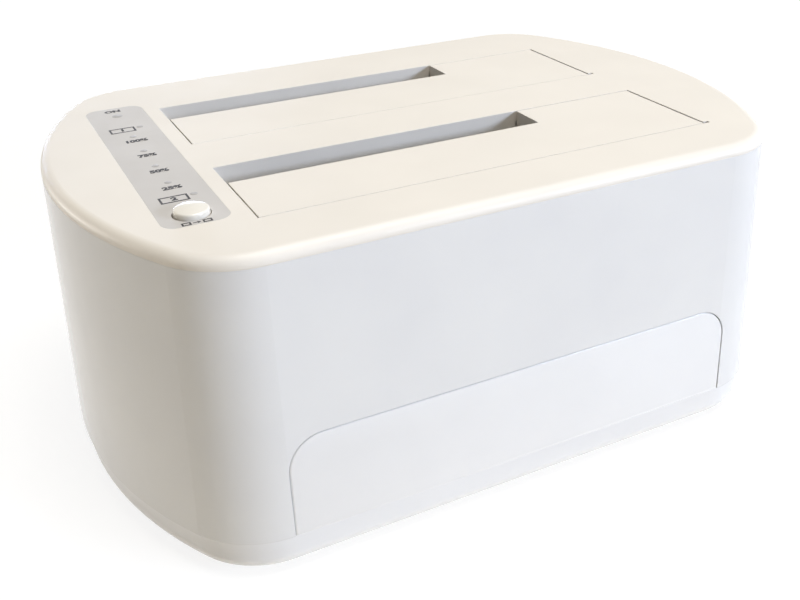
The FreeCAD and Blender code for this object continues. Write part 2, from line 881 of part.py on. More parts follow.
def make_base():
    body = new_body("base")
    grow = seam_grow - s.base_inset
    slab = plan_pad(body, "base_slab", s.foot_stand, grow, s.base_height)
    fillet(body, slab, level_edges(slab.Shape, s.foot_stand), s.base_edge)
    plan_cut(body, "base_hollow", seam, grow - s.wall, s.base_height - s.base_plate)
    ring = seam_grow - s.wall - s.lip_play
    tall = s.spigot_height + s.spigot_wall
    plan_pad(body, "spigot", seam - s.spigot_wall, ring, tall, ring - s.spigot_wall)
    base_fittings(body)
    return body


def base_fittings(body):
    """Gaps in the spigot, bosses for the case screws, standoffs, foot seats and vents."""
    over = seam + s.spigot_height
    block_cut(body, "spigot_gaps", over, s.spigot_height, *rib_boxes(s.gap_play))
    left, right = io_left - s.wall - s.gap_play, io_right + s.wall + s.gap_play
    box = (left, right, io_floor - s.wall - s.gap_play, s.case_width / 2 + seam_grow)
    block_cut(body, "spigot_port_gap", over, s.spigot_height, box)
    rounds = [(x, y, s.pillar_radius) for x, y in pillars]
    round_pad(body, "base_bosses", base_top, seam - base_top, *rounds)
    rounds = [(x, y, s.standoff_radius) for x, y in board_screws]
    round_pad(body, "standoffs", base_top, s.standoff_height, *rounds)
    rounds = [(x, y, s.screw_radius) for x, y in board_screws]
    round_cut(body, "standoff_pilots", board_under, s.standoff_height, *rounds)
    rounds = [(x, y, s.screw_head + s.gap_play) for x, y in pillars]
    round_cut(body, "head_wells", s.foot_stand, s.head_well, *rounds, up=True)
    rounds = [(x, y, s.screw_radius) for x, y in pillars]
    round_cut(body, "base_holes", s.foot_stand, s.base_height, *rounds, up=True)
    rounds = [(x, y, s.foot_radius) for x, y in feet]
    round_cut(body, "foot_seats", s.foot_stand, s.foot_seat, *rounds, up=True)
    for column in (-1, 1):
        vent_column(body, column)


def vent_column(body, column):
    """One slot under the board, repeated towards the rear."""
    slot = new_sketch(body, "vent", offset=base_top)
    middle = s.vent_column_x * column
    half_x = s.vent_length / 2
    front = -s.vent_block / 2
    draw_rectangle(slot, middle - half_x, middle + half_x, front, front + s.vent_width)
    first = pocket(body, slot, s.base_plate)
    rows = body.newObject("PartDesign::LinearPattern", "vent_rows")
    rows.Originals = [first]
    rows.Direction = (slot, ["V_Axis"])
    rows.Occurrences = VENT_ROWS
    bind(rows, "Length", s.vent_block - s.vent_width)
    body.Tip = rows
    doc.recompute()


def make_rubber_feet():
    body = new_body("rubber_feet")
    rounds = [(x, y, s.foot_radius) for x, y in feet]
    slab = round_pad(body, "feet", 0, s.foot_stand + s.foot_seat, *rounds)
    fillet(body, slab, level_edges(slab.Shape, 0), s.foot_edge, "PartDesign::Chamfer")
    return body


# ---------------------------------------------------------------- flaps


def make_flap(name, bay):
    """An L-shaped door: a front strip, and a wide part right of the 2.5 inch slot."""
    body = new_body(f"flap_{name}")
    left, right = bay_left + s.flap_gap, bay_right - s.flap_end_gap
    front, rear = bay.front + s.flap_front_gap, bay.rear - s.flap_gap
    plate = new_sketch(body, "flap_plate", offset=top)
    draw_polygon(
        plate,
        (left, front),
        (right, front),
        (right, rear),
        (slot_right, rear),
        (slot_right, bay.slot_front),
        (left, bay.slot_front),
    )
    pad(body, plate, s.flap_plate, down=True)
    skirt = new_sketch(body, "flap_skirt", offset=top - s.flap_plate)
    draw_polygon(
        skirt,
        (left, bay.slot_front - s.skirt_wall),
        (slot_right + s.skirt_wall, bay.slot_front - s.skirt_wall),
        (slot_right + s.skirt_wall, rear),
        (slot_right, rear),
        (slot_right, bay.slot_front),
        (left, bay.slot_front),
    )
    pad(body, skirt, s.flap_skirt - s.flap_plate, down=True)
    flap_ribs(body, bay)
    flap_stop(body, bay, rear)
    flap_barrels(body, bay)
    return body


def flap_ribs(body, bay):
    """Ribs under the plate, from the hinge towards the skirt."""
    sketch = new_sketch(body, "flap_ribs", offset=top - s.flap_plate)
    low, high = bay.front + s.barrel_web * 2, bay.slot_front - s.skirt_wall / 2
    for number in range(FLAP_RIBS):
        x = bay_left + s.barrel_length + (s.slot_length - s.barrel_length) * number / FLAP_RIBS
        draw_rectangle(sketch, x, x + s.rib_wall, low, high)
    pad(body, sketch, s.rib_depth, down=True)


def flap_stop(body, bay, rear):
    """A tab that reaches under the cover behind the opening and stops the closed flap."""
    middle = (slot_right + bay_right) / 2
    under = split - s.hinge_play
    low = under - s.hinge_lip
    reach = bay.rear + s.stop_reach
    root = rear - s.skirt_wall
    plate_under = top - s.flap_plate
    sketch = side_sketch(body, "flap_stop", middle - s.stop_length / 2)
    draw_polygon(
        sketch,
        (root, low),
        (reach, low),
        (reach, under),
        (rear, under),
        (rear, plate_under),
        (root, plate_under),
    )
    pad(body, sketch, s.stop_length)


def flap_barrels(body, bay):
    """Two knuckles on the hinge pin, each joined to the plate by a web."""
    front, plate_under = bay.front + s.flap_front_gap, top - s.flap_plate
    starts = (bay_left + s.flap_gap, bay_right - s.flap_end_gap - s.barrel_length)
    for number, start in enumerate(starts):
        web = side_sketch(body, f"barrel_web_{number}", start)
        draw_polygon(
            web,
            (front, plate_under),
            (bay.pin_y, pin_z + s.web_high),
            (bay.pin_y, pin_z - s.web_low),
            (front + s.barrel_web, plate_under),
        )
        pad(body, web, s.barrel_length)
        barrel = side_sketch(body, f"barrel_{number}", start)
        draw_circle(barrel, bay.pin_y, pin_z, s.barrel_radius)
        pad(body, barrel, s.barrel_length)
    bore = side_sketch(body, "barrel_bore", bay_left)
    draw_circle(bore, bay.pin_y, pin_z, s.pin_radius + s.pin_play)
    pocket(body, bore, s.bay_length, up=True)


def make_hinge_pin(name, bay):
    body = new_body(f"hinge_pin_{name}")
    sketch = side_sketch(body, "pin_round", bay_left - s.ear_width)
    draw_circle(sketch, bay.pin_y, pin_z, s.pin_radius)
    pad(body, sketch, s.bay_length + s.ear_width * 2)
    return body


def make_flap_spring(name, bay):
    """A torsion spring on the pin: one leg lies under the cover, the other lifts the flap."""
    body = new_body(f"flap_spring_{name}")
    start = bay_centre + s.ear_width / 2 + s.spring_pitch
    end = start + s.spring_pitch * s.spring_turns
    wire = rear_sketch(body, "wire", bay.pin_y)
    bind(wire, "AttachmentOffset.Base.y", pin_z)
    draw_rectangle(wire, start, start + s.spring_wire, s.spring_coil, s.spring_coil + s.spring_wire)
    coil = body.newObject("PartDesign::AdditiveHelix", "coil")
    coil.Profile = wire
    coil.ReferenceAxis = (wire, ["H_Axis"])
    coil.Mode = 0
    bind(coil, "Pitch", s.spring_pitch)
    bind(coil, "Height", s.spring_pitch * s.spring_turns)
    doc.recompute()
    low, high = pin_z + s.spring_coil, pin_z + s.spring_coil + s.spring_wire
    rear_leg = rear_sketch(body, "rear_leg", bay.pin_y)
    draw_rectangle(rear_leg, end, end + s.spring_wire, low, high)
    pad(body, rear_leg, s.spring_leg, down=True)
    front_leg = rear_sketch(body, "front_leg", bay.pin_y)
    draw_rectangle(front_leg, start, start + s.spring_wire, low, high)
    pad(body, front_leg, s.groove_width - s.pin_setback - s.spring_wire)
    return body


# ---------------------------------------------------------------- drive cage and connectors


def make_drive_cage():
    body = new_body("drive_cage")
    wells = [
        (cage_left, cage_right, bay.recess - s.cage_wall, bay.rear + s.cage_wall)
        for bay in bays.values()
    ]
    block_pad(body, "wells", cage_under, cage_top - cage_under, *wells)
    flange_z = cage_top - s.cage_wall
    block_pad(body, "cage_flange", flange_z, s.cage_wall, (cage_left, cage_right, cage_front, cage_rear))
    half = s.boss_radius
    front_ears = [(x - half, x + half, y - half, cage_front) for x, y in cage_screws[:2]]
    rear_ears = [(x - half, x + half, cage_rear, y + half) for x, y in cage_screws[2:]]
    block_pad(body, "cage_ears", flange_z, s.cage_wall, *front_ears, *rear_ears)
    between = bays["front"].rear + s.cage_wall, bays["rear"].recess - s.cage_wall
    lefts = (bay_left + s.web_inset, slot_right)
    webs = [(left, left + s.cage_wall, *between) for left in lefts]
    block_pad(body, "cage_webs", cage_deck, cage_top - cage_deck, *webs)
    cage_wells(body)
    holes = [(x, y, s.screw_radius) for x, y in cage_screws]
    round_cut(body, "cage_holes", cage_top, s.cage_wall, *holes)
    return body


def cage_wells(body):
    """Each well is wide where the open flap hangs and narrow below, where it guides the drive."""
    swing = s.bay_width + s.pin_setback + s.stop_reach + s.flap_plate
    ledge = pin_z - swing
    upper = [(bay_left, bay_right, bay.recess, bay.rear) for bay in bays.values()]
    block_cut(body, "flap_room", cage_top, cage_top - ledge, *upper)
    inner = s.guide_inset - s.cage_wall
    relief = [
        (cage_left, cage_right, bay.recess - s.cage_wall, bay.front + inner)
        for bay in bays.values()
    ]
    block_cut(body, "lower_step", cage_under, ledge - s.cage_wall - cage_under, *relief, up=True)
    lower = [(bay_left, bay_right, bay.front + s.guide_inset, bay.rear) for bay in bays.values()]
    block_cut(body, "drive_room", ledge, ledge - cage_deck, *lower)
    half_x, half_y = s.sata_length / 2 + s.io_play, s.sata_width / 2 + s.io_play
    x = bay_left + s.sata_offset
    holes = [
        (x - half_x, x + half_x, bay.sata_y - half_y, bay.sata_y + half_y)
        for bay in bays.values()
    ]
    block_cut(body, "sata_holes", cage_deck, s.cage_floor, *holes)
    middle, half = (slot_right + bay_right) / 2, s.stop_length / 2 + s.gap_play
    back = s.stop_reach + s.cage_wall
    notches = [
        (middle - half, middle + half, bay.rear - s.gap_play, bay.rear + back)
        for bay in bays.values()
    ]
    block_cut(body, "stop_notches", cage_top, s.stop_notch, *notches)


def make_sata_connector(name, bay):
    """A tall 22-way socket: the short signal slot and the long power slot, each with its L key."""
    body = new_body(f"sata_connector_{name}")
    x, y = bay_left + s.sata_offset, bay.sata_y
    half_x, half_y = s.sata_length / 2, s.sata_width / 2
    block = (x - half_x, x + half_x, y - half_y, y + half_y)
    block_pad(body, "sata_block", board_top, sata_top - board_top, block)
    slot = s.sata_slot
    sketch = new_sketch(body, "sata_slots", offset=sata_top)
    signal_left = x - half_x + s.sata_end
    power_right = x + half_x - s.sata_end
    for left, right in (
        (signal_left, signal_left + s.sata_signal),
        (power_right - s.sata_power, power_right),
    ):
        draw_polygon(
            sketch,
            (left, y - slot / 2),
            (right, y - slot / 2),
            (right, y + slot / 2 + slot),
            (right - slot, y + slot / 2 + slot),
            (right - slot, y + slot / 2),
            (left, y + slot / 2),
        )
    pocket(body, sketch, s.sata_reach - s.sata_slot / 2)
    return body


# ---------------------------------------------------------------- boards


def board_body(label, box, height, corner, holes):
    """A circuit board with round corners and screw holes."""
    body = new_body(label)
    sketch = new_sketch(body, f"{label}_outline", offset=height)
    draw_round_rectangle(sketch, *box, corner)
    for hole in holes:
        draw_circle(sketch, *hole)
    pad(body, sketch, s.board_plate)
    return body


def make_main_board():
    holes = [(x, y, s.screw_radius + s.lamp_play) for x, y in board_screws]
    box = (board_left, board_right, board_front, board_rear)
    return board_body("main_board", box, board_under, s.board_corner, holes)


def make_control_board():
    holes = [(x, y, s.small_screw + s.lamp_play) for x, y in control_screws]
    box = (control_left, control_right, control_front, control_rear)
    return board_body("control_board", box, control_under, s.board_corner / 2, holes)


def make_bridge_chips():
    body = new_body("bridge_chips")
    half = s.chip_side / 2
    places = [(bay_right - s.chip_side, bay.front + s.chip_side) for bay in bays.values()]
    boxes = [(x - half, x + half, y - half, y + half) for x, y in places]
    block_pad(body, "chips", board_top, s.chip_height, *boxes)
    return body


parts_row = board_rear - s.capacitor_radius * 2


def make_capacitors():
    body = new_body("capacitors")
    radius = s.capacitor_radius
    first = board_left + s.screw_inset * 2 + radius
    places = [(first + s.capacitor_pitch * number, parts_row) for number in range(CAPACITORS)]
    boxes = [(x - radius, x + radius, y - radius, y + radius) for x, y in places]
    block_pad(body, "capacitor_bases", board_top, s.capacitor_base, *boxes)
    rounds = [(x, y, radius) for x, y in places]
    round_pad(body, "capacitor_cans", board_top + s.capacitor_base, s.capacitor_height, *rounds)
    return body


def make_inductors():
    """One inductor stands left of the USB port and one between it and the inlet."""
    body = new_body("inductors")
    half = s.inductor_side / 2
    usb_left, usb_right = usb_x - s.usb_width / 2, usb_x + s.usb_width / 2
    places = (usb_left - s.inductor_side, (usb_right + jack_x - s.jack_width / 2) / 2)
    boxes = [(x - half, x + half, parts_row - half, parts_row + half) for x in places]
    block_pad(body, "inductor_blocks", board_top, s.inductor_height, *boxes)
    return body


def make_crystal():
    """The clock crystal's oval can, beside the front chip."""
    body = new_body("crystal")
    sketch = new_sketch(body, "crystal_can", offset=board_top)
    right = bay_right - s.chip_side * 2
    low = bays["front"].front + s.chip_side - s.crystal_width / 2
    corner = s.crystal_width / 2 - s.gap_play
    draw_round_rectangle(sketch, right - s.crystal_length, right, low, low + s.crystal_width, corner)
    pad(body, sketch, s.crystal_height)
    return body


def make_usb_port():
    """The metal shell of a USB 3 type B socket, open to the rear."""
    body = new_body("usb_port")
    mouth = io_floor + s.io_play
    half = s.usb_width / 2
    shell = rear_sketch(body, "usb_shell", mouth)
    high = board_top + s.usb_height
    draw_round_rectangle(shell, usb_x - half, usb_x + half, board_top, high, s.usb_corner)
    pad(body, shell, s.usb_depth)
    hollow = rear_sketch(body, "usb_hollow", mouth)
    draw_polygon(hollow, *usb_outline(s.usb_shell))
    pocket(body, hollow, s.usb_depth - s.usb_back, up=True)
    return body


def usb_outline(inset):
    """The hat-shaped mouth: a wide lower part with cut corners and a narrow upper part."""
    low, high = board_top + inset, board_top + s.usb_height - inset
    shoulder = board_top + s.usb_shoulder
    wide, narrow = s.usb_width / 2 - inset, s.usb_narrow / 2
    right = [
        (usb_x + wide, low),
        (usb_x + wide, shoulder - s.usb_cut),
        (usb_x + wide - s.usb_cut, shoulder),
        (usb_x + narrow, shoulder),
        (usb_x + narrow, high),
    ]
    left = [(usb_x * 2 - x, z) for x, z in reversed(right)]
    return right + left


def make_usb_tongue():
    """The insulator inside the USB socket: a thick lower tongue and a thin upper one."""
    body = new_body("usb_tongue")
    root = io_floor + s.io_play - (s.usb_depth - s.usb_back)
    sketch = rear_sketch(body, "tongues", root)
    tongues = (
        (s.tongue_width / 2, board_top + s.tongue_rise, s.tongue_plate / 2),
        (s.upper_tongue_width / 2, board_top + s.upper_tongue_rise, s.upper_tongue_plate / 2),
    )
    for half_x, z, half_z in tongues:
        draw_rectangle(sketch, usb_x - half_x, usb_x + half_x, z - half_z, z + half_z)
    pad(body, sketch, s.tongue_reach, down=True)
    return body


def make_dc_jack():
    body = new_body("dc_jack")
    half = s.jack_width / 2
    sketch = rear_sketch(body, "jack_block", io_floor)
    draw_rectangle(sketch, jack_x - half, jack_x + half, board_top, board_top + s.jack_height)
    pad(body, sketch, s.jack_depth)
    bore = rear_sketch(body, "jack_bore", io_floor)
    draw_circle(bore, jack_x, jack_z, s.jack_bore)
    pocket(body, bore, s.jack_reach, up=True)
    return body


def make_dc_jack_pin():
    body = new_body("dc_jack_pin")
    sketch = rear_sketch(body, "jack_pin", io_floor - s.jack_reach)
    draw_circle(sketch, jack_x, jack_z, s.jack_pin)
    pad(body, sketch, s.jack_reach - s.io_play, down=True)
    return body


rocker_y = io_floor - s.rocker_sink


def make_power_switch():
    body = new_body("power_switch")
    x, half_x, half_z = switch_x, s.switch_width / 2, s.switch_height / 2
    bezel = rear_sketch(body, "switch_bezel", io_floor)
    draw_round_rectangle(bezel, x - half_x, x + half_x, switch_z - half_z, switch_z + half_z, s.io_corner / 2)
    pad(body, bezel, s.switch_flange, down=True)
    can = rear_sketch(body, "switch_can", io_floor)
    can_x, can_z = half_x - s.switch_rim, half_z - s.switch_rim / 2
    draw_rectangle(can, x - can_x, x + can_x, switch_z - can_z, switch_z + can_z)
    pad(body, can, s.switch_depth)
    well = rear_sketch(body, "rocker_well", io_floor + s.switch_flange)
    well_x, well_z = s.rocker_half + s.rocker_play, s.rocker_width / 2 + s.rocker_play / 2
    draw_rectangle(well, x - well_x, x + well_x, switch_z - well_z, switch_z + well_z)
    pocket(body, well, s.switch_flange + s.rocker_sink + s.rocker_room, up=True)
    trunnion = new_sketch(body, "trunnion_bores", offset=switch_z + can_z - s.trunnion_skin)
    draw_circle(trunnion, x, rocker_y, s.trunnion_radius + s.pin_play)
    pocket(body, trunnion, (can_z - s.trunnion_skin) * 2)
    return body


def make_switch_terminals():
    """Two blades that carry the switch's current down to the main board."""
    body = new_body("switch_terminals")
    y = io_floor - s.switch_depth / 2
    half_x, half_y = s.terminal_length / 2, s.terminal_plate / 2
    under = switch_z - s.switch_height / 2 + s.switch_rim / 2
    boxes = [
        (x - half_x, x + half_x, y - half_y, y + half_y)
        for x in (switch_x - s.terminal_pitch / 2, switch_x + s.terminal_pitch / 2)
    ]
    block_pad(body, "terminals", board_top, under - board_top, *boxes)
    return body


def make_power_rocker():
    """The rocker stands tilted to its off side and turns about its upright trunnions."""
    body = new_body("power_rocker")
    low = switch_z - s.rocker_width / 2
    sketch = new_sketch(body, "rocker_face", offset=low)
    tilt = math.radians(s.rocker_tilt.value)
    cosine = Size(math.cos(tilt), f"cos({s.rocker_tilt.text} * 1 deg)")
    sine = Size(math.sin(tilt), f"sin({s.rocker_tilt.text} * 1 deg)")
    half, back, crest, dip = s.rocker_half, s.rocker_back, s.rocker_crest, s.rocker_dip
    profile = [(-half, -back), (half, -back), (half, crest), (as_size(0), dip), (-half, crest)]
    placed = [
        (switch_x + across * cosine - out * sine, rocker_y + across * sine + out * cosine)
        for across, out in profile
    ]
    draw_polygon(sketch, *placed)
    pad(body, sketch, s.rocker_width)
    reach = s.switch_height / 2 - s.switch_rim / 2 - s.trunnion_skin - s.pin_play
    pin = new_sketch(body, "trunnions", offset=switch_z - reach)
    draw_circle(pin, switch_x, rocker_y, s.trunnion_radius)
    pad(body, pin, reach * 2)
    return body


# ---------------------------------------------------------------- label, button and lamps


def make_indicator_label():
    body = new_body("indicator_label")
    sketch = new_sketch(body, "label_outline", offset=label_under)
    draw_round_rectangle(sketch, label_left, label_right, label_front, label_rear, s.label_corner)
    draw_circle(sketch, label_x, button_y, s.button_hole)
    pad(body, sketch, s.label_plate)
    return body


def make_clone_button():
    body = new_body("clone_button")
    stem_top = control_top + s.tact_height + s.stem_height
    flange_top = split - s.flange_play
    place = (label_x, button_y)
    round_pad(body, "plunger", stem_top, flange_top - stem_top, (*place, s.stem_radius))
    round_pad(body, "flange", flange_top - s.flange_plate, s.flange_plate, (*place, s.button_flange))
    cap = round_pad(body, "cap", flange_top, top + s.button_proud - flange_top, (*place, s.button_radius))
    rim = level_edges(cap.Shape, top + s.button_proud)
    fillet(body, cap, rim, s.button_edge, "PartDesign::Chamfer")
    return body


def make_tact_switch():
    body = new_body("tact_switch")
    half = s.tact_side / 2
    x, y = label_x, button_y
    block_pad(body, "tact_case", control_top, s.tact_height, (x - half, x + half, y - half, y + half))
    high = control_top + s.tact_height
    depth = s.stem_root + s.button_travel + s.gap_play
    round_cut(body, "stem_well", high, depth, (x, y, s.stem_radius + s.lamp_play))
    return body


def make_tact_stem():
    body = new_body("tact_stem")
    low = control_top + s.tact_height - s.stem_root
    round_pad(body, "stem", low, s.stem_root + s.stem_height, (label_x, button_y, s.stem_radius))
    return body


def make_light_guide():
    """A clear bar over the lamps, on two feet, whose posts carry the light up to the label."""
    body = new_body("light_guide")
    left, right = label_x - s.guide_margin, drive_lamp_x + s.guide_margin
    low, high = target_lamp_y - s.guide_margin, power_lamp_y + s.guide_margin
    bar_z = control_top + s.led_height + s.gap_play
    block_pad(body, "guide_bar", bar_z, s.guide_plate, (left, right, low, high))
    ends = ((left, right, low - s.guide_foot, low), (left, right, high, high + s.guide_foot))
    block_pad(body, "guide_feet", control_top, bar_z + s.guide_plate - control_top, *ends)
    bar_top = bar_z + s.guide_plate
    round_pad(body, "posts", bar_top, label_under - bar_top, *lamps)
    return body


def make_status_leds():
    body = new_body("status_leds")
    half_x, half_y = s.led_length / 2, s.led_width / 2
    boxes = [(x - half_x, x + half_x, y - half_y, y + half_y) for x, y, _ in lamps]
    block_pad(body, "leds", control_top, s.led_height, *boxes)
    return body


header_x = board_left + s.header_width


def make_ribbon_headers():
    """One header under the control board and one on the main board."""
    body = new_body("ribbon_headers")
    half_x, half_y = s.header_width / 2, s.ribbon_width / 2 + s.ribbon_thick
    upper, lower = header_box(label_x, half_x, half_y), header_box(header_x, half_x, half_y)
    block_pad(body, "upper_header", control_under, s.header_height, upper, down=True)
    block_pad(body, "lower_header", board_top, s.header_height, lower)
    return body


def header_box(x, half_x, half_y):
    return x - half_x, x + half_x, s.label_y - half_y, s.label_y + half_y


def make_board_ribbon():
    """A flat ribbon that bends twice on its way from the control board to the main board."""
    ribbon = doc.addObject("Part::Feature", "board_ribbon")
    ribbon.Label = "board_ribbon"
    x0, x1 = label_x.value, header_x.value
    z0 = (control_under - s.header_height).value
    z1 = (board_top + s.header_height).value
    y = (s.label_y - s.ribbon_width / 2).value
    drop = s.ribbon_width.value
    corners_xz = [(x0, z0), (x0, z0 - drop), (x1, z1 + drop), (x1, z1)]
    points = [Vector(x, y, z) for x, z in corners_xz]
    spine = rounded_wire(points, s.ribbon_bend.value)
    half = s.ribbon_thick.value / 2
    width = s.ribbon_width.value
    edge = [Vector(x0 - half, y, z0), Vector(x0 + half, y, z0)]
    edge += [Vector(x0 + half, y + width, z0), Vector(x0 - half, y + width, z0), edge[0]]
    ribbon.Shape = spine.makePipeShell([Part.makePolygon(edge)], True, False)
    return ribbon


def rounded_wire(points, radius):
    """Straight runs joined by tangent arcs."""
    edges = []
    start = points[0]
    for before, corner, after in zip(points, points[1:], points[2:]):
        back = (before - corner).normalize()
        ahead = (after - corner).normalize()
        half_turn = (math.pi - back.getAngle(ahead)) / 2
        trim = radius * math.tan(half_turn)
        bisector = (back + ahead).normalize()
        centre = corner + bisector * (radius / math.cos(half_turn))
        first, last = corner + back * trim, corner + ahead * trim
        middle = centre - bisector * radius
        edges.append(Part.LineSegment(start, first).toShape())
        edges.append(Part.Arc(first, middle, last).toShape())
        start = last
    edges.append(Part.LineSegment(start, points[-1]).toShape())
    return Part.Wire(edges)


# ---------------------------------------------------------------- screws


def screw_group(label, places, seat, length, radius, head_up):
    """Pan-head screws that share one seat height: heads above it, or below it."""
    body = new_body(label)
    heads = [(x, y, radius * s.head_ratio) for x, y in places]
    round_pad(body, f"{label}_heads", seat, s.head_height, *heads, down=not head_up)
    shanks = [(x, y, radius) for x, y in places]
    round_pad(body, f"{label}_shanks", seat, length, *shanks, down=head_up)
    return body


def make_screws():
    base_seat, cage_seat = s.foot_stand + s.head_well, cage_top - s.cage_wall
    return [
        screw_group("base_screws", pillars, base_seat, s.base_screw, s.screw_radius, False),
        screw_group("board_screws", board_screws, board_top, s.board_screw, s.screw_radius, True),
        screw_group("cage_screws", cage_screws, cage_seat, s.cage_screw, s.screw_radius, False),
        screw_group("control_screws", control_screws, control_under, s.board_screw, s.small_screw, False),
    ]


# ---------------------------------------------------------------- build and write


def check(items):
    """Stops on any failed feature or bad shape."""
    for item in doc.Objects:
        if "Invalid" in item.State or "Error" in item.State:
            raise RuntimeError(f"{item.Name}: {item.State}")
    for item in items:
        if item.Shape.isNull() or not item.Shape.isValid() or item.Shape.Volume <= 0:
            raise RuntimeError(f"{item.Label} has no sound shape")


pieces = [
    make_top_cover(),
    make_main_housing(),
    make_front_panel(),
    make_base(),
    make_rubber_feet(),
    make_drive_cage(),
    make_main_board(),
    make_control_board(),
    make_bridge_chips(),
    make_capacitors(),
    make_inductors(),
    make_crystal(),
    make_usb_port(),
    make_usb_tongue(),
    make_dc_jack(),
    make_dc_jack_pin(),
    make_power_switch(),
    make_switch_terminals(),
    make_power_rocker(),
    make_indicator_label(),
    make_clone_button(),
    make_tact_switch(),
    make_tact_stem(),
    make_light_guide(),
    make_status_leds(),
    make_ribbon_headers(),
    make_board_ribbon(),
    *make_screws(),
]
for name, bay in bays.items():
    pieces.append(make_flap(name, bay))
    pieces.append(make_hinge_pin(name, bay))
    pieces.append(make_flap_spring(name, bay))
    pieces.append(make_sata_connector(name, bay))

doc.recompute()
check(pieces)
os.makedirs("parts", exist_ok=True)
for piece in pieces:
    piece.Shape.exportStep(f"parts/{piece.Label}.step")
    print(f"{piece.Label}: {len(piece.Shape.Solids)} solids, {piece.Shape.Volume:.0f} mm3")
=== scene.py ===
import math

import bmesh
import bpy
from mathutils import Matrix, Vector


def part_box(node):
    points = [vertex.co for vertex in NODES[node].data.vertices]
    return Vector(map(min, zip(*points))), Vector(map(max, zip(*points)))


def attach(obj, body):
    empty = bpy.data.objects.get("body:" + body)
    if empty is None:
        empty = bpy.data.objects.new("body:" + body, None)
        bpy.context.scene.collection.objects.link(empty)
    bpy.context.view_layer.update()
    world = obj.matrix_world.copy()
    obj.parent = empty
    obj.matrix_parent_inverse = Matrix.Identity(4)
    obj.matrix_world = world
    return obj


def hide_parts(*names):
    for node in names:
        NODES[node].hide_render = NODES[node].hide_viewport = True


# A drive duplicator: a white two-bay dock with hinged bay flaps, a clone button and rear ports.
# Sizes are in millimetres and are turned to metres where a mesh is finished.

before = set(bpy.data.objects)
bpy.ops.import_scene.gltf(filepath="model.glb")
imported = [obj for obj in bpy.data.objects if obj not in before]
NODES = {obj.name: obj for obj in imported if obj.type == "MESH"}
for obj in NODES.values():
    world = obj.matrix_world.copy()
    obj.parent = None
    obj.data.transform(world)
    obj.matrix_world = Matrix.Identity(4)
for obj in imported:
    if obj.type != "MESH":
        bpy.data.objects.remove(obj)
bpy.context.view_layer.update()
MM = 0.001


def linear(code):
    """The linear RGBA of an sRGB hex colour."""
    parts = [int(code[i:i + 2], 16) / 255 for i in (0, 2, 4)]
    return [c / 12.92 if c <= 0.04045 else ((c + 0.055) / 1.055) ** 2.4 for c in parts] + [1.0]


def add_node(tree, kind, settings=(), links=()):
    """Adds a node, sets its properties and input values, and links outputs to its inputs."""
    node = tree.nodes.new(kind)
    for name, value in dict(settings).items():
        if hasattr(node, str(name)):
            setattr(node, name, value)
        else:
            node.inputs[name].default_value = value
    for name, output in dict(links).items():
        tree.links.new(output, node.inputs[name])
    return node


# ------------------------------------------------------------------ camera, floor and lights

# where the camera stands, in millimetres, which way it faces, and its lens
CAMERA_PLACE = (-96.007, -203.695, 144.383)
CAMERA_RIGHT = (0.88469276, -0.46595618, -0.01426757)
CAMERA_DOWN = (-0.22037137, -0.39104852, -0.89359807)
CAMERA_AHEAD = (0.41079823, 0.79370391, -0.44864129)
SENSOR_WIDTH = 36
CAMERA_LENS = 45.69
CAMERA_SHIFT = (-0.0504, -0.05)
NEAR_CLIP = 0.01

# the light that comes from all round, warm and weak
FILL_COLOUR = "E8DAC4"
FILL_STRENGTH = 0.143
# what the floor sends back to the object, and what is seen of it: grey paper, lifted to white by a glow
FLOOR_COLOUR = "FFF7E8"
SEEN_FLOOR = "8C8C8C"
SEEN_GLOW = 0.84
# distances, in metres, between which the seen floor goes over to plain white
FADE = (0.25, 0.9)
FLOOR_SIDE = 6
# each light: place, aim, size (metres), power (watts) and colour
LIGHTS = {
    "overhead": ((0.1, -0.13, 0.8), (0.02, -0.05, 0.03), (0.4, 0.4), 4.45, "FFFBF2"),
    "front_key": ((0.8, -0.95, 0.4), (0, 0, 0.05), (0.5, 0.2), 10.35, "D6E5FF"),
    "rear_left": ((-0.9, 0.9, 0.04), (-0.05, 0, 0.0), (0.4, 0.08), 4.0, "FAF5F0"),
    "rear": ((0.0, 1.3, 0.12), (0, 0, 0.03), (0.8, 0.15), 4.0, "CBDDFF"),
}


def make_camera():
    """A camera above the front left corner."""
    data = bpy.data.cameras.new("camera")
    data.sensor_width = SENSOR_WIDTH
    data.lens = CAMERA_LENS
    data.shift_x, data.shift_y = CAMERA_SHIFT
    data.clip_start = NEAR_CLIP
    camera = bpy.data.objects.new("camera", data)
    bpy.context.collection.objects.link(camera)
    axes = [Vector(CAMERA_RIGHT), -Vector(CAMERA_DOWN), -Vector(CAMERA_AHEAD)]
    turn = Matrix(axes).transposed().to_4x4()
    camera.matrix_world = Matrix.Translation(Vector(CAMERA_PLACE) * MM) @ turn
    bpy.context.scene.camera = camera


def area_light(name, place, aim, size, power, colour):
    """A soft rectangular lamp at a place, turned towards an aim."""
    data = bpy.data.lights.new(name, "AREA")
    data.shape = "RECTANGLE"
    data.size, data.size_y = size
    data.energy = power
    data.color = linear(colour)[:3]
    light = bpy.data.objects.new(name, data)
    bpy.context.collection.objects.link(light)
    light.location = place
    light.rotation_euler = (Vector(aim) - Vector(place)).to_track_quat("-Z", "Y").to_euler()


def shown_ray(tree):
    """1 where the camera, a reflection or a refraction looks at the surroundings, else 0."""
    path = add_node(tree, "ShaderNodeLightPath")
    shown = path.outputs["Is Camera Ray"]
    for ray in ("Is Glossy Ray", "Is Transmission Ray"):
        links = {0: shown, 1: path.outputs[ray]}
        shown = add_node(tree, "ShaderNodeMath", {"operation": "MAXIMUM"}, links).outputs[0]
    return shown


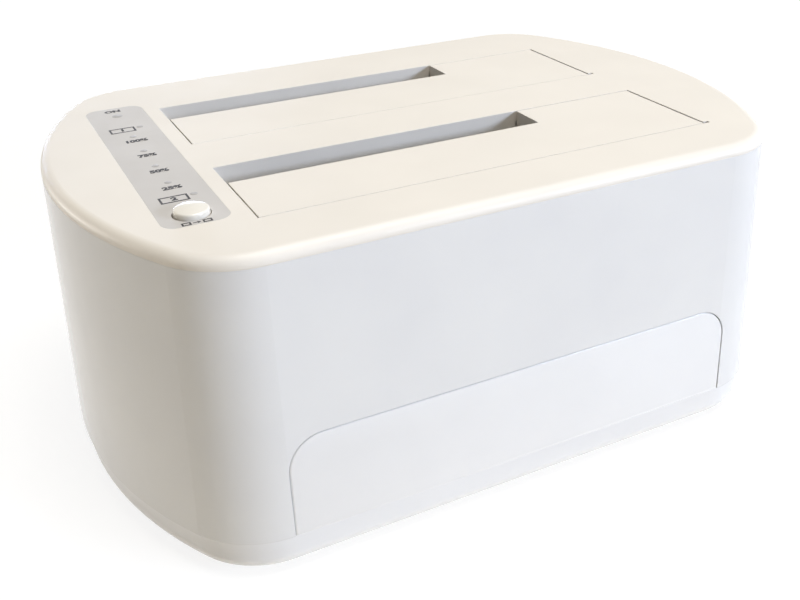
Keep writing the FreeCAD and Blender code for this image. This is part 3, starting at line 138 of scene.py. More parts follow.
def make_world():
    """A warm fill on the object, seen as plain white."""
    world = bpy.data.worlds.new("studio")
    bpy.context.scene.world = world
    world.use_nodes = True
    tree = world.node_tree
    tree.nodes.clear()
    white = add_node(tree, "ShaderNodeBackground", {"Color": (1, 1, 1, 1), "Strength": 1.0})
    fill = add_node(tree, "ShaderNodeBackground", {"Color": linear(FILL_COLOUR), "Strength": FILL_STRENGTH})
    links = {0: shown_ray(tree), 1: fill.outputs[0], 2: white.outputs[0]}
    mix = add_node(tree, "ShaderNodeMixShader", (), links)
    add_node(tree, "ShaderNodeOutputWorld", (), {"Surface": mix.outputs[0]})


def make_floor():
    """White paper that keeps the object's shadow."""
    bpy.ops.mesh.primitive_plane_add(size=FLOOR_SIDE)
    floor = bpy.context.object
    floor.name = "floor"
    paper = bpy.data.materials.new("white_paper_floor")
    paper.use_nodes = True
    tree = paper.node_tree
    tree.nodes.clear()
    sheet = add_node(tree, "ShaderNodeBsdfDiffuse", {"Color": linear(FLOOR_COLOUR)})
    matt = add_node(tree, "ShaderNodeBsdfDiffuse", {"Color": linear(SEEN_FLOOR)})
    place = add_node(tree, "ShaderNodeTexCoord").outputs["Object"]
    away = add_node(tree, "ShaderNodeVectorMath", {"operation": "LENGTH"}, {0: place}).outputs["Value"]
    settings = {"From Min": FADE[0], "From Max": FADE[1], "To Min": SEEN_GLOW, "To Max": 1.0}
    strength = add_node(tree, "ShaderNodeMapRange", settings, {"Value": away}).outputs[0]
    glow = add_node(tree, "ShaderNodeEmission", {"Color": (1, 1, 1, 1)}, {"Strength": strength})
    both = add_node(tree, "ShaderNodeAddShader", (), {0: matt.outputs[0], 1: glow.outputs[0]})
    links = {0: shown_ray(tree), 1: sheet.outputs[0], 2: both.outputs[0]}
    mix = add_node(tree, "ShaderNodeMixShader", (), links)
    add_node(tree, "ShaderNodeOutputMaterial", (), {"Surface": mix.outputs[0]})
    floor.data.materials.append(paper)


# ------------------------------------------------------------------ how finishes are put together


def new_finish(name, values=()):
    """A material, its tree and its shader, with constant values set on the shader's own sockets."""
    finish = bpy.data.materials.new(name)
    finish.use_nodes = True
    shader = finish.node_tree.nodes["Principled BSDF"]
    for socket, value in dict(values).items():
        shader.inputs[socket].default_value = value
    return finish, finish.node_tree, shader


def patches(tree, size, detail=2.0, stretch=(1, 1, 1)):
    """Soft noise whose patches are about size millimetres across, shrunk along an axis by stretch."""
    place = add_node(tree, "ShaderNodeTexCoord").outputs["Object"]
    place = add_node(tree, "ShaderNodeMapping", {"Scale": stretch}, {"Vector": place}).outputs[0]
    settings = {"Scale": 1 / (size * MM), "Detail": detail}
    return add_node(tree, "ShaderNodeTexNoise", settings, {"Vector": place}).outputs["Fac"]


# most values of soft noise lie between these two
NOISE_LOW = 0.3
NOISE_HIGH = 0.7


def tint(tree, shader, factor, *codes, low=NOISE_LOW, high=NOISE_HIGH):
    """Colours the piece through near shades as the factor goes from low to high."""
    ramp = add_node(tree, "ShaderNodeValToRGB", (), {"Fac": factor})
    stops = ramp.color_ramp.elements
    while len(stops) < len(codes):
        stops.new(0.5)
    for number, code in enumerate(codes):
        stops[number].position = low + (high - low) * number / (len(codes) - 1)
        stops[number].color = linear(code)
    tree.links.new(ramp.outputs["Color"], shader.inputs["Base Color"])


def dull(tree, shader, factor, low, high):
    """Lets the roughness drift between two values with the factor."""
    settings = {"From Min": NOISE_LOW, "From Max": NOISE_HIGH, "To Min": low, "To Max": high}
    spread = add_node(tree, "ShaderNodeMapRange", settings, {"Value": factor})
    tree.links.new(spread.outputs[0], shader.inputs["Roughness"])


EDGE_SAMPLES = 6


def relief(tree, shader, *layers, edge=0.0):
    """Raises the surface by layers, each (height, depth in millimetres), and eases edges by a radius."""
    normal = None
    if edge:
        settings = {"samples": EDGE_SAMPLES, "Radius": edge * MM}
        normal = add_node(tree, "ShaderNodeBevel", settings).outputs[0]
    for height, depth in layers:
        links = {"Height": height, "Normal": normal} if normal else {"Height": height}
        normal = add_node(tree, "ShaderNodeBump", {"Distance": depth * MM}, links).outputs[0]
    tree.links.new(normal, shader.inputs["Normal"])


# ------------------------------------------------------------------ finishes


# in millimetres: how far apart a moulded piece changes in shade and in gloss, and the sink waves of its walls
SHADE_PATCH = 22
GLOSS_PATCH = 6
SINK_WAVE = 30
SINK_DEPTH = 0.03
PLASTIC_IOR = 1.53


def moulded_plastic(name, shades, rough, grain=0.5, depth=0.004, edge=0.2, values=()):
    """A moulded piece: near shades, a drifting gloss, tool grain and slow sink waves.

    Real tool grain is finer than a tenth of a millimetre, so it is drawn coarser, to show.
    """
    finish, tree, shader = new_finish(name, {"IOR": PLASTIC_IOR, **dict(values)})
    tint(tree, shader, patches(tree, SHADE_PATCH), *shades)
    dull(tree, shader, patches(tree, GLOSS_PATCH, 4), *rough)
    waves, skin = patches(tree, SINK_WAVE, 0), patches(tree, grain, 3)
    relief(tree, shader, (waves, SINK_DEPTH), (skin, depth), edge=edge)
    return finish


def spark_eroded_ivory_abs():
    # A fine spark-eroded mould leaves a soft satin that scatters the light: warm, even and quiet.
    return moulded_plastic("spark_eroded_ivory_abs", ("F7F2EA", "F3EEE6"), (0.42, 0.5), 0.45, 0.006)


def polished_white_abs():
    # A polished mould leaves a hard gloss, with wide soft reflections that ripple where walls sank.
    return moulded_plastic("polished_white_abs", ("EDEEEF", "E9EAEC"), (0.1, 0.16), 1.2, 0.001)


def polished_panel_abs():
    # The inlay comes from its own polished mould. Its shades, lighter than the wall round it, are partly its
    # own plastic and partly painted bounce light from the floor on the lower front.
    return moulded_plastic("polished_panel_abs", ("F3F4F6", "F0F1F3"), (0.12, 0.18), 1.2, 0.001)


def satin_white_abs():
    # The tray's mould is only stoned, so it shines less than the housing above it. Its shades are lighter
    # than the housing's: painted bounce light from the floor on the lowest band.
    return moulded_plastic("satin_white_abs", ("F4F5F7", "F1F2F4"), (0.22, 0.27), 0.8, 0.002)


def stoned_cool_abs():
    # The cage is a cooler white than the cover, dry from a roughly stoned mould.
    return moulded_plastic("stoned_cool_white_abs", ("F0F1F3", "E8EAED"), (0.45, 0.6), 0.6, 0.01)


def glossy_button_abs():
    # Fingers keep the button's polish, so its dome carries a small bright reflection.
    return moulded_plastic("glossy_button_abs", ("F8F4EB", "F3EFE6"), (0.12, 0.2), 0.9, 0.001, edge=0)


def matt_black_rubber():
    # Moulded rubber is deep grey and dry, with a dusty bloom in patches.
    shades, values = ("2A2A2B", "3B3A3A"), {"IOR": 1.52}
    return moulded_plastic("matt_black_rubber", shades, (0.75, 0.92), 0.35, 0.02, 0.3, values)


def black_nylon(name):
    # Glass fibres near the skin make this black look slightly grey and dry.
    return moulded_plastic(name, ("141415", "232324"), (0.42, 0.58), 0.3, 0.01, 0.1)


def natural_nylon():
    # Unpigmented nylon is milky, a little yellow and waxy.
    values = {"IOR": 1.53, "Subsurface Weight": 0.1, "Subsurface Radius": (0.002, 0.0018, 0.0012)}
    return moulded_plastic("natural_nylon", ("E9E3D3", "DED6C2"), (0.35, 0.48), 0.5, 0.006, 0.15, values)


def glossy_black_pbt():
    # The rocker is polished so that it feels smooth, and shows thin bright edges.
    return moulded_plastic("glossy_black_pbt", ("101011", "1A1A1B"), (0.16, 0.26), 0.5, 0.002, 0.25)


def blue_pbt():
    # Tongues of fast ports are moulded in a strong blue.
    return moulded_plastic("moulded_blue_pbt", ("1E55A6", "174A96"), (0.35, 0.45), 0.4, 0.004, 0.08)


def label_film():
    # Silver-grey ink behind a velvet polycarbonate film: even and softly shining. The velvet is finer than
    # it is drawn, so that it shows.
    finish, tree, shader = new_finish("velvet_polycarbonate_film", {"IOR": 1.58})
    tint(tree, shader, patches(tree, 16), "D3D0CD", "CBC8C5")
    dull(tree, shader, patches(tree, 3, 3), 0.4, 0.5)
    relief(tree, shader, (patches(tree, 0.3, 3), 0.003), (patches(tree, 14, 0), 0.02), edge=0.1)
    return finish


def screen_ink():
    # Screen ink lies a little uneven, so the letters are not quite black. The screen's mesh is finer than
    # the patches, which are drawn to show.
    finish, tree, shader = new_finish("screen_printed_ink", {"IOR": 1.5})
    tint(tree, shader, patches(tree, 0.6, 3), "1F1E20", "343236")
    dull(tree, shader, patches(tree, 0.8), 0.45, 0.6)
    return finish


def white_ink():
    # Pad print on the rocker: a thin white that lets some black through.
    finish, tree, shader = new_finish("pad_printed_white_ink", {"IOR": 1.5})
    tint(tree, shader, patches(tree, 0.5, 3), "C9C9C8", "EDEDEC")
    dull(tree, shader, patches(tree, 0.8), 0.4, 0.55)
    return finish


def frosted_window():
    # The film is left unprinted over each lamp, so the grey turns milky there.
    finish, tree, shader = new_finish("frosted_lamp_window", {"IOR": 1.58})
    tint(tree, shader, patches(tree, 0.5, 3), "BBB9B8", "ABA8A7")
    dull(tree, shader, patches(tree, 0.5), 0.42, 0.55)
    return finish


# copper tracks under the mask, in millimetres
TRACK_WIDTH = 0.22
TRACK_RUN = 5.3
TRACK_PITCH = 1.27


def solder_masked_board():
    # Green mask over copper: wide pours show as a lighter green, and tracks as fine ridges.
    finish, tree, shader = new_finish("solder_masked_laminate", {"IOR": 1.54, "Coat Weight": 0.3})
    place = add_node(tree, "ShaderNodeTexCoord").outputs["Object"]
    settings = {"offset": 0.37, "squash": 0.6, "Scale": 1 / MM, "Mortar Size": TRACK_WIDTH}
    settings.update({"Brick Width": TRACK_RUN, "Row Height": TRACK_PITCH})
    settings.update({"Color1": (0, 0, 0, 1), "Color2": (0.3, 0.3, 0.3, 1), "Mortar": (1, 1, 1, 1)})
    tracks = add_node(tree, "ShaderNodeTexBrick", settings, {"Vector": place}).outputs["Color"]
    tint(tree, shader, tracks, "0E4A2C", "1B6A3F", low=0.1, high=0.9)
    dull(tree, shader, patches(tree, 9), 0.3, 0.42)
    relief(tree, shader, (tracks, 0.03), (patches(tree, 0.5, 3), 0.004), edge=0.1)
    return finish


def chip_epoxy():
    # Epoxy from a blasted mould is nearly black and dry.
    return moulded_plastic("blasted_chip_epoxy", ("1B1B1D", "272729"), (0.5, 0.65), 0.2, 0.012, 0.1)


def ferrite():
    # Pressed ferrite powder: dark, slightly brown, with open grain.
    return moulded_plastic("pressed_ferrite", ("2B2A2A", "3A3735"), (0.6, 0.8), 0.4, 0.02, 0.25)


# in millimetres, how far apart a metal changes in shade
BLOOM_PATCH = 7


def metal(name, shades, rough, size=0.6, stretch=(1, 1, 1), depth=0.002, edge=0.08):
    """A metal with the fine marks of how it was made, shrunk along each axis by stretch.

    Real marks are finer than a tenth of a millimetre, so they are drawn coarser, to show.
    """
    finish, tree, shader = new_finish(name, {"Metallic": 1.0})
    tint(tree, shader, patches(tree, BLOOM_PATCH), *shades)
    grain = patches(tree, size, 3, stretch)
    dull(tree, shader, grain, *rough)
    relief(tree, shader, (grain, depth), edge=edge)
    return finish


def zinc_plated_steel():
    # Bright zinc over cold-headed steel: bluish, with a faint cloudy bloom.
    return metal("zinc_plated_steel", ("C6CACC", "B4B9BC"), (0.28, 0.4))


def ground_steel():
    # Centreless grinding leaves rings across the pin.
    return metal("ground_steel_rod", ("B9BBBD", "A9ABAE"), (0.2, 0.3), 0.3, (6, 1, 1))


def music_wire():
    # Drawn spring wire keeps a grey, slightly oily skin.
    return metal("drawn_music_wire", ("8D8F92", "77797C"), (0.25, 0.38), 0.4)


def nickel_plate():
    # Deep-drawn steel with nickel over it: warm white, drawn along the port.
    return metal("nickel_plated_steel", ("CFCBC4", "BFBBB4"), (0.22, 0.34), 0.5, (4, 0.5, 4))


def gold_plate():
    # A flash of gold over nickel on the contacts.
    return metal("gold_flashed_contacts", ("E2B860", "D0A24C"), (0.2, 0.32), 0.3)


def tin_plate():
    # Hot-dipped tin on the chip's leads: soft and bright.
    return metal("tinned_copper_leads", ("D5D5D3", "C3C3C1"), (0.25, 0.4), 0.3)


def drawn_aluminium():
    # Impact-drawn aluminium, with the draw marks running up the can.
    return metal("drawn_aluminium_can", ("D2D4D6", "C2C4C7"), (0.25, 0.36), 0.35, (5, 5, 0.4))


def clear_acrylic():
    # Polished acrylic that carries the lamps' light, faintly blue at its edges.
    values = {"IOR": 1.49, "Transmission Weight": 0.9}
    finish, tree, shader = new_finish("polished_clear_acrylic", values)
    tint(tree, shader, patches(tree, 12), "F4F9FB", "E9F2F6")
    dull(tree, shader, patches(tree, 4), 0.04, 0.1)
    relief(tree, shader, (patches(tree, 8, 0), 0.01), edge=0.1)
    return finish


def led_resin():
    # Phosphor in clear resin: a deep yellow under a wet skin.
    finish, tree, shader = new_finish("phosphor_filled_resin", {"IOR": 1.5, "Coat Weight": 0.5})
    tint(tree, shader, patches(tree, 0.4, 3), "E9D36A", "DCC14F")
    dull(tree, shader, patches(tree, 0.5), 0.2, 0.3)
    return finish


def led_ceramic():
    # Fired white ceramic, dry and even.
    return moulded_plastic("fired_white_ceramic", ("EFEEEA", "E2E1DC"), (0.5, 0.65), 0.2, 0.006, 0.05)


# wires in the ribbon, and how far each stands out, in millimetres
RIBBON_WIRES = 7
WIRE_RIDGE = 0.12


def ribbon_vinyl():
    # Grey vinyl over round conductors: a ridge on each, and a red stripe on the first.
    finish, tree, shader = new_finish("extruded_ribbon_vinyl", {"IOR": 1.52})
    place = add_node(tree, "ShaderNodeTexCoord").outputs["Object"]
    across = add_node(tree, "ShaderNodeSeparateXYZ", (), {0: place}).outputs["Y"]
    low, high = (corner.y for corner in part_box("board_ribbon"))
    settings = {"From Min": low, "From Max": high}
    share = add_node(tree, "ShaderNodeMapRange", settings, {"Value": across}).outputs[0]
    ramp = add_node(tree, "ShaderNodeValToRGB", (), {"Fac": share})
    ramp.color_ramp.interpolation = "CONSTANT"
    ramp.color_ramp.elements[0].color = linear("A8332E")
    ramp.color_ramp.elements[1].color = linear("A9ABAC")
    ramp.color_ramp.elements[1].position = 1 / RIBBON_WIRES
    tree.links.new(ramp.outputs["Color"], shader.inputs["Base Color"])
    turns = {"operation": "MULTIPLY", 1: 2 * math.pi * RIBBON_WIRES}
    angle = add_node(tree, "ShaderNodeMath", turns, {0: share}).outputs[0]
    ridge = add_node(tree, "ShaderNodeMath", {"operation": "COSINE"}, {0: angle}).outputs[0]
    dull(tree, shader, patches(tree, 2), 0.4, 0.52)
    relief(tree, shader, (ridge, -WIRE_RIDGE), (patches(tree, 0.6, 3), 0.01))
    return finish


# the finish of each material slot
FINISHES = {
    "cover_plastic": spark_eroded_ivory_abs(),
    "flap_plastic": spark_eroded_ivory_abs(),
    "housing_plastic": polished_white_abs(),
    "panel_plastic": polished_panel_abs(),
    "base_plastic": satin_white_abs(),
    "foot_rubber": matt_black_rubber(),
    "cage_plastic": stoned_cool_abs(),
    "board_laminate": solder_masked_board(),
    "chip_epoxy": chip_epoxy(),
    "capacitor_can": drawn_aluminium(),
    "inductor_ferrite": ferrite(),
    "crystal_can": nickel_plate(),
    "usb_shell": nickel_plate(),
    "usb_tongue": blue_pbt(),
    "jack_plastic": black_nylon("glass_filled_jack_nylon"),
    "contact_metal": nickel_plate(),
    "switch_plastic": black_nylon("glass_filled_switch_nylon"),
    "rocker_plastic": glossy_black_pbt(),
    "label_film": label_film(),
    "button_plastic": glossy_button_abs(),
    "tact_metal": nickel_plate(),
    "tact_stem": black_nylon("moulded_stem_nylon"),
    "guide_acrylic": clear_acrylic(),
    "led_package": led_ceramic(),
    "header_plastic": natural_nylon(),
    "ribbon_vinyl": ribbon_vinyl(),
    "screw_steel": zinc_plated_steel(),
    "pin_steel": ground_steel(),
    "spring_wire": music_wire(),
    "connector_plastic": black_nylon("glass_filled_connector_polymer"),
}
# finishes of the details, each of which is listed under the slot of the piece that it is on
INK, WHITE_INK, WINDOW = screen_ink(), white_ink(), frosted_window()
GOLD, TIN, RESIN = gold_plate(), tin_plate(), led_resin()

# the CAD nodes that take the finish of each slot
NODES_OF = {
    "cover_plastic": ("top_cover",),
    "flap_plastic": ("flap_front", "flap_rear"),
    "housing_plastic": ("main_housing",),
    "panel_plastic": ("front_panel",),
    "base_plastic": ("base",),
    "foot_rubber": ("rubber_feet",),
    "cage_plastic": ("drive_cage",),
    "board_laminate": ("main_board", "control_board"),
    "chip_epoxy": ("bridge_chips",),
    "capacitor_can": ("capacitors",),
    "inductor_ferrite": ("inductors",),
    "crystal_can": ("crystal",),
    "usb_shell": ("usb_port",),
    "usb_tongue": ("usb_tongue",),
    "jack_plastic": ("dc_jack",),
    "contact_metal": ("dc_jack_pin", "switch_terminals"),
    "switch_plastic": ("power_switch",),
    "rocker_plastic": ("power_rocker",),
    "label_film": ("indicator_label",),
    "button_plastic": ("clone_button",),
    "tact_metal": ("tact_switch",),
    "tact_stem": ("tact_stem",),
    "guide_acrylic": ("light_guide",),
    "led_package": ("status_leds",),
    "header_plastic": ("ribbon_headers",),
    "ribbon_vinyl": ("board_ribbon",),
    "screw_steel": ("base_screws", "board_screws", "cage_screws", "control_screws"),
    "pin_steel": ("hinge_pin_front", "hinge_pin_rear"),
    "spring_wire": ("flap_spring_front", "flap_spring_rear"),
    "connector_plastic": ("sata_connector_front", "sata_connector_rear"),
}


def dress_nodes():
    """Gives every CAD node the finish of its slot."""
    for slot, nodes in NODES_OF.items():
        for node in nodes:
            NODES[node].data.materials.clear()
            NODES[node].data.materials.append(FINISHES[slot])


# ------------------------------------------------------------------ how pieces are put together


# vertices nearer than this, in millimetres, are one, in a new piece and in a copy of a CAD node
WELD = 0.0005
NODE_WELD = 0.001


def extent(node):
    """The lowest and highest corners of a CAD node, in millimetres."""
    low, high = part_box(node)
    return low / MM, high / MM


def solids_in(node):
    """The boxes, in millimetres, of the separate solids in a CAD node."""
    bm = bmesh.new()
    bm.from_mesh(NODES[node].data)
    bmesh.ops.remove_doubles(bm, verts=bm.verts, dist=NODE_WELD * MM)
    waiting = set(bm.verts)
    boxes = []
    while waiting:
        open_ends = [waiting.pop()]
        found = []
        while open_ends:
            vert = open_ends.pop()
            found.append(vert.co / MM)
            near = {edge.other_vert(vert) for edge in vert.link_edges} & waiting
            waiting -= near
            open_ends.extend(near)
        boxes.append((Vector(map(min, zip(*found))), Vector(map(max, zip(*found)))))
    bm.free()
    return sorted(boxes, key=lambda box: tuple(box[0]))


def finish_mesh(bm, name, sharp=35):
    """Closes and turns the faces out, goes to metres and keeps edges over an angle sharp."""
    bmesh.ops.remove_doubles(bm, verts=bm.verts, dist=WELD)
    bmesh.ops.recalc_face_normals(bm, faces=bm.faces)
    bmesh.ops.scale(bm, vec=(MM, MM, MM), verts=bm.verts)
    for face in bm.faces:
        face.smooth = True
    for edge in bm.edges:
        edge.smooth = edge.calc_face_angle(0) < math.radians(sharp)
    mesh = bpy.data.meshes.new(name)
    bm.to_mesh(mesh)
    bm.free()
    return mesh


def add_piece(mesh, slot, finish=None, body="case", replaced=None):
    """Puts a finished mesh in the scene as a piece of a CAD body, in place of a node if one is named."""
    mesh.materials.clear()
    mesh.materials.append(finish or FINISHES[slot])
    piece = bpy.data.objects.new(mesh.name, mesh)
    bpy.context.collection.objects.link(piece)
    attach(piece, body)
    if replaced:
        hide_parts(replaced)


def revolve(bm, profile, steps, place=(0, 0, 0)):
    """Turns (radius, height) points round an upright axis at a place. Points on the axis close it."""
    rings = []
    for radius, height in profile:
        count = steps if radius else 1
        angles = [2 * math.pi * step / count for step in range(count)]
        spots = [(radius * math.cos(a), radius * math.sin(a), height) for a in angles]
        spots = [Vector(spot) + Vector(place) for spot in spots]
        rings.append([bm.verts.new(spot) for spot in spots])
    for lower, upper in zip(rings, rings[1:]):
        for step in range(steps):
            after = step + 1
            corners = [lower[step % len(lower)], lower[after % len(lower)]]
            corners += [upper[after % len(upper)], upper[step % len(upper)]]
            corners = list(dict.fromkeys(corners))
            if len(corners) > 2:
                bm.faces.new(corners)
    return rings


def quarter(radius, height, bend, steps=5):
    """The rounded shoulder of a profile that comes up a side and turns in over the top."""
    angles = [math.pi / 2 * step / steps for step in range(steps + 1)]
    return [(radius - bend + bend * math.cos(a), height - bend + bend * math.sin(a)) for a in angles]


def block(bm, low, high, chamfer):
    """A box between two corners, with its edges cut off by a chamfer."""
    size = Vector(high) - Vector(low)
    place = Matrix.Translation((Vector(high) + Vector(low)) / 2) @ Matrix.Diagonal((*size, 1))
    made = bmesh.ops.create_cube(bm, size=1, matrix=place)
    edges = list({edge for vert in made["verts"] for edge in vert.link_edges})
    bmesh.ops.bevel(bm, geom=edges, offset=chamfer, segments=1, affect="EDGES", profile=0.5)


def arch(half, low, high, corner, steps=12):
    """Points round a rectangle whose two upper corners are round."""
    angles = [math.pi / 2 * step / steps for step in range(steps + 1)]
    right = [(half - corner + corner * math.cos(a), high - corner + corner * math.sin(a)) for a in angles]
    left = [(-x, y) for x, y in reversed(right)]
    return [(half, low), *right, *left, (-half, low)]


def join_walls(bm, rings):
    """Walls between rings of as many points."""
    for one, two in zip(rings, rings[1:]):
        for step in range(len(one)):
            after = (step + 1) % len(one)
            bm.faces.new([one[step], one[after], two[after], two[step]])


def join_rings(bm, rings):
    """Walls between rings of as many points, and a cap at each end."""
    join_walls(bm, rings)
    bm.faces.new(rings[0])
    bm.faces.new(rings[-1])


# ------------------------------------------------------------------ geometry trees for what repeats


def new_tree(name, inputs):
    """A geometry tree with a mesh in, a mesh out and a named input for each of its sizes."""
    tree = bpy.data.node_groups.new(name, "GeometryNodeTree")
    tree.interface.new_socket("Geometry", in_out="INPUT", socket_type="NodeSocketGeometry")
    for label, kind in inputs.items():
        tree.interface.new_socket(label, in_out="INPUT", socket_type=f"NodeSocket{kind}")
    tree.interface.new_socket("Geometry", in_out="OUTPUT", socket_type="NodeSocketGeometry")
    return tree, add_node(tree, "NodeGroupInput").outputs


def close_tree(tree, inputs, instances):
    """Makes instances real, gives them the finish and ends the tree."""
    real = add_node(tree, "GeometryNodeRealizeInstances", (), {"Geometry": instances}).outputs[0]
    links = {"Geometry": real, "Material": inputs["Finish"]}
    painted = add_node(tree, "GeometryNodeSetMaterial", (), links).outputs[0]
    add_node(tree, "NodeGroupOutput", (), {"Geometry": painted})
    return tree


def parts_on_points():
    """One part on every point, each turned about its upright axis by its own seeded angle."""
    kinds = {"Part": "Object", "Most Turn": "Float", "Seed": "Int", "Finish": "Material"}
    tree, inputs = new_tree("parts_on_points", kinds)
    part = add_node(tree, "GeometryNodeObjectInfo", (), {"Object": inputs["Part"]}).outputs["Geometry"]
    turn = add_node(tree, "FunctionNodeRandomValue", {"data_type": "FLOAT"})
    # the highest value of a random float is the fourth input
    tree.links.new(inputs["Most Turn"], turn.inputs[3])
    tree.links.new(inputs["Seed"], turn.inputs["Seed"])
    turned = add_node(tree, "ShaderNodeCombineXYZ", (), {"Z": turn.outputs[1]}).outputs[0]
    links = {"Points": inputs["Geometry"], "Instance": part, "Rotation": turned}
    placed = add_node(tree, "GeometryNodeInstanceOnPoints", (), links).outputs[0]
    return close_tree(tree, inputs, placed)


def rows_of_parts():
    """A row of parts along X that starts at every point, one pitch apart."""
    kinds = {"Part": "Object", "Count": "Int", "Pitch": "Float", "Finish": "Material"}
    tree, inputs = new_tree("rows_of_parts", kinds)
    part = add_node(tree, "GeometryNodeObjectInfo", (), {"Object": inputs["Part"]}).outputs["Geometry"]
    step = add_node(tree, "ShaderNodeCombineXYZ", (), {"X": inputs["Pitch"]}).outputs[0]
    links = {"Count": inputs["Count"], "Offset": step}
    row = add_node(tree, "GeometryNodeMeshLine", {"mode": "OFFSET"}, links).outputs[0]
    links = {"Points": row, "Instance": part}
    parts = add_node(tree, "GeometryNodeInstanceOnPoints", (), links).outputs[0]
    links = {"Points": inputs["Geometry"], "Instance": parts}
    placed = add_node(tree, "GeometryNodeInstanceOnPoints", (), links).outputs[0]
    return close_tree(tree, inputs, placed)


def leads_round_chips():
    """A row of leads along each of the four sides of a chip that stands at every point."""
    kinds = {"Part": "Object", "Count": "Int", "Pitch": "Float", "Reach": "Float", "Finish": "Material"}
    tree, inputs = new_tree("leads_round_chips", kinds)
    part = add_node(tree, "GeometryNodeObjectInfo", (), {"Object": inputs["Part"]}).outputs["Geometry"]
    links = {0: inputs["Count"]}
    gaps = add_node(tree, "ShaderNodeMath", {"operation": "SUBTRACT", 1: 1.0}, links).outputs[0]
    links = {0: gaps, 1: inputs["Pitch"]}
    length = add_node(tree, "ShaderNodeMath", {"operation": "MULTIPLY"}, links).outputs[0]
    start = add_node(tree, "ShaderNodeMath", {"operation": "MULTIPLY", 1: -0.5}, {0: length}).outputs[0]
    links = {"X": start, "Y": inputs["Reach"]}
    corner = add_node(tree, "ShaderNodeCombineXYZ", (), links).outputs[0]
    step = add_node(tree, "ShaderNodeCombineXYZ", (), {"X": inputs["Pitch"]}).outputs[0]
    links = {"Count": inputs["Count"], "Start Location": corner, "Offset": step}
    row = add_node(tree, "GeometryNodeMeshLine", {"mode": "OFFSET"}, links).outputs[0]
    links = {"Points": row, "Instance": part}
    side = add_node(tree, "GeometryNodeInstanceOnPoints", (), links).outputs[0]
    sides = add_node(tree, "GeometryNodeJoinGeometry")
    for number in range(4):
        settings = {"Rotation": (0, 0, math.pi / 2 * number)}
        turned = add_node(tree, "GeometryNodeTransform", settings, {"Geometry": side}).outputs[0]
        tree.links.new(turned, sides.inputs[0])
    links = {"Points": inputs["Geometry"], "Instance": sides.outputs[0]}
    placed = add_node(tree, "GeometryNodeInstanceOnPoints", (), links).outputs[0]
    return close_tree(tree, inputs, placed)


def parts_over_patches():
    """Parts scattered over flat patches, none nearer than a gap, each turned by quarter turns."""
    kinds = {"Part": "Object", "Gap": "Float", "Density": "Float", "Seed": "Int", "Finish": "Material"}
    tree, inputs = new_tree("parts_over_patches", kinds)
    part = add_node(tree, "GeometryNodeObjectInfo", (), {"Object": inputs["Part"]}).outputs["Geometry"]
    links = {"Mesh": inputs["Geometry"], "Distance Min": inputs["Gap"], "Seed": inputs["Seed"]}
    links["Density Max"] = inputs["Density"]
    settings = {"distribute_method": "POISSON"}
    points = add_node(tree, "GeometryNodeDistributePointsOnFaces", settings, links).outputs["Points"]
    quarters = add_node(tree, "FunctionNodeRandomValue", {"data_type": "INT"})
    # the lowest and highest values of a random whole number are the fifth and sixth inputs
    quarters.inputs[4].default_value, quarters.inputs[5].default_value = 0, 3
    tree.links.new(inputs["Seed"], quarters.inputs["Seed"])
    settings = {"operation": "MULTIPLY", 1: math.pi / 2}
    angle = add_node(tree, "ShaderNodeMath", settings, {0: quarters.outputs[2]}).outputs[0]
    turn = add_node(tree, "ShaderNodeCombineXYZ", (), {"Z": angle}).outputs[0]
    links = {"Points": points, "Instance": part, "Rotation": turn}
    placed = add_node(tree, "GeometryNodeInstanceOnPoints", (), links).outputs[0]
    return close_tree(tree, inputs, placed)


def wire_along_path():
    """A round wire that follows a path of edges, closed at both ends."""
    kinds = {"Thickness": "Float", "Sides": "Int", "Finish": "Material"}
    tree, inputs = new_tree("wire_along_path", kinds)
    path = add_node(tree, "GeometryNodeMeshToCurve", (), {"Mesh": inputs["Geometry"]}).outputs[0]
    links = {0: inputs["Thickness"]}
    half = add_node(tree, "ShaderNodeMath", {"operation": "MULTIPLY", 1: 0.5}, links).outputs[0]
    links = {"Resolution": inputs["Sides"], "Radius": half}
    ring = add_node(tree, "GeometryNodeCurvePrimitiveCircle", {"mode": "RADIUS"}, links).outputs[0]
    links = {"Curve": path, "Profile Curve": ring}
    wire = add_node(tree, "GeometryNodeCurveToMesh", {"Fill Caps": True}, links).outputs[0]
    return close_tree(tree, inputs, wire)


def grow(name, base, tree, values):
    """Runs a tree on a mesh with the values of its inputs and returns the result as a plain mesh."""
    carrier = bpy.data.objects.new(name, base)
    bpy.context.collection.objects.link(carrier)
    modifier = carrier.modifiers.new(tree.name, "NODES")
    modifier.node_group = tree
    for socket in tree.interface.items_tree:
        if socket.in_out == "INPUT" and socket.name in values:
            modifier[socket.identifier] = values[socket.name]
    depsgraph = bpy.context.evaluated_depsgraph_get()
    mesh = bpy.data.meshes.new_from_object(carrier.evaluated_get(depsgraph), depsgraph=depsgraph)
    mesh.name = name
    bpy.data.objects.remove(carrier)
    return mesh


def points_mesh(spots):
    """A mesh of loose points, given in millimetres."""
    mesh = bpy.data.meshes.new("points")
    mesh.from_pydata([Vector(spot) * MM for spot in spots], [], [])
    return mesh


def pattern_object(mesh):
    """Holds a mesh for a tree to repeat. It is removed once it has been used."""
    part = bpy.data.objects.new(mesh.name, mesh)
    bpy.context.collection.objects.link(part)
    return part


def repeat(name, spots, mesh, tree, finish, **values):
    """Repeats a mesh over points through a tree and returns the plain result."""
    part = pattern_object(mesh)
    made = grow(name, points_mesh(spots), tree, {"Part": part, "Finish": finish, **values})
    bpy.data.objects.remove(part)
    return made


# ------------------------------------------------------------------ button, label and lamps

# radii of the cap and the stem, thickness of the flange, rise of the dome, radius of the cap's edge, how
# far the cap's top is above the flange, and the rings of the dome as shares of its radius
BUTTON_CAP = 3.38
BUTTON_STEM = 1.7
BUTTON_FLANGE = 1.0
BUTTON_DOME = 0.3
BUTTON_BEND = 0.45
CAP_RISE = 4.15
DOME_RINGS = (0.8, 0.6, 0.4, 0.2)
BUTTON_STEPS = 64


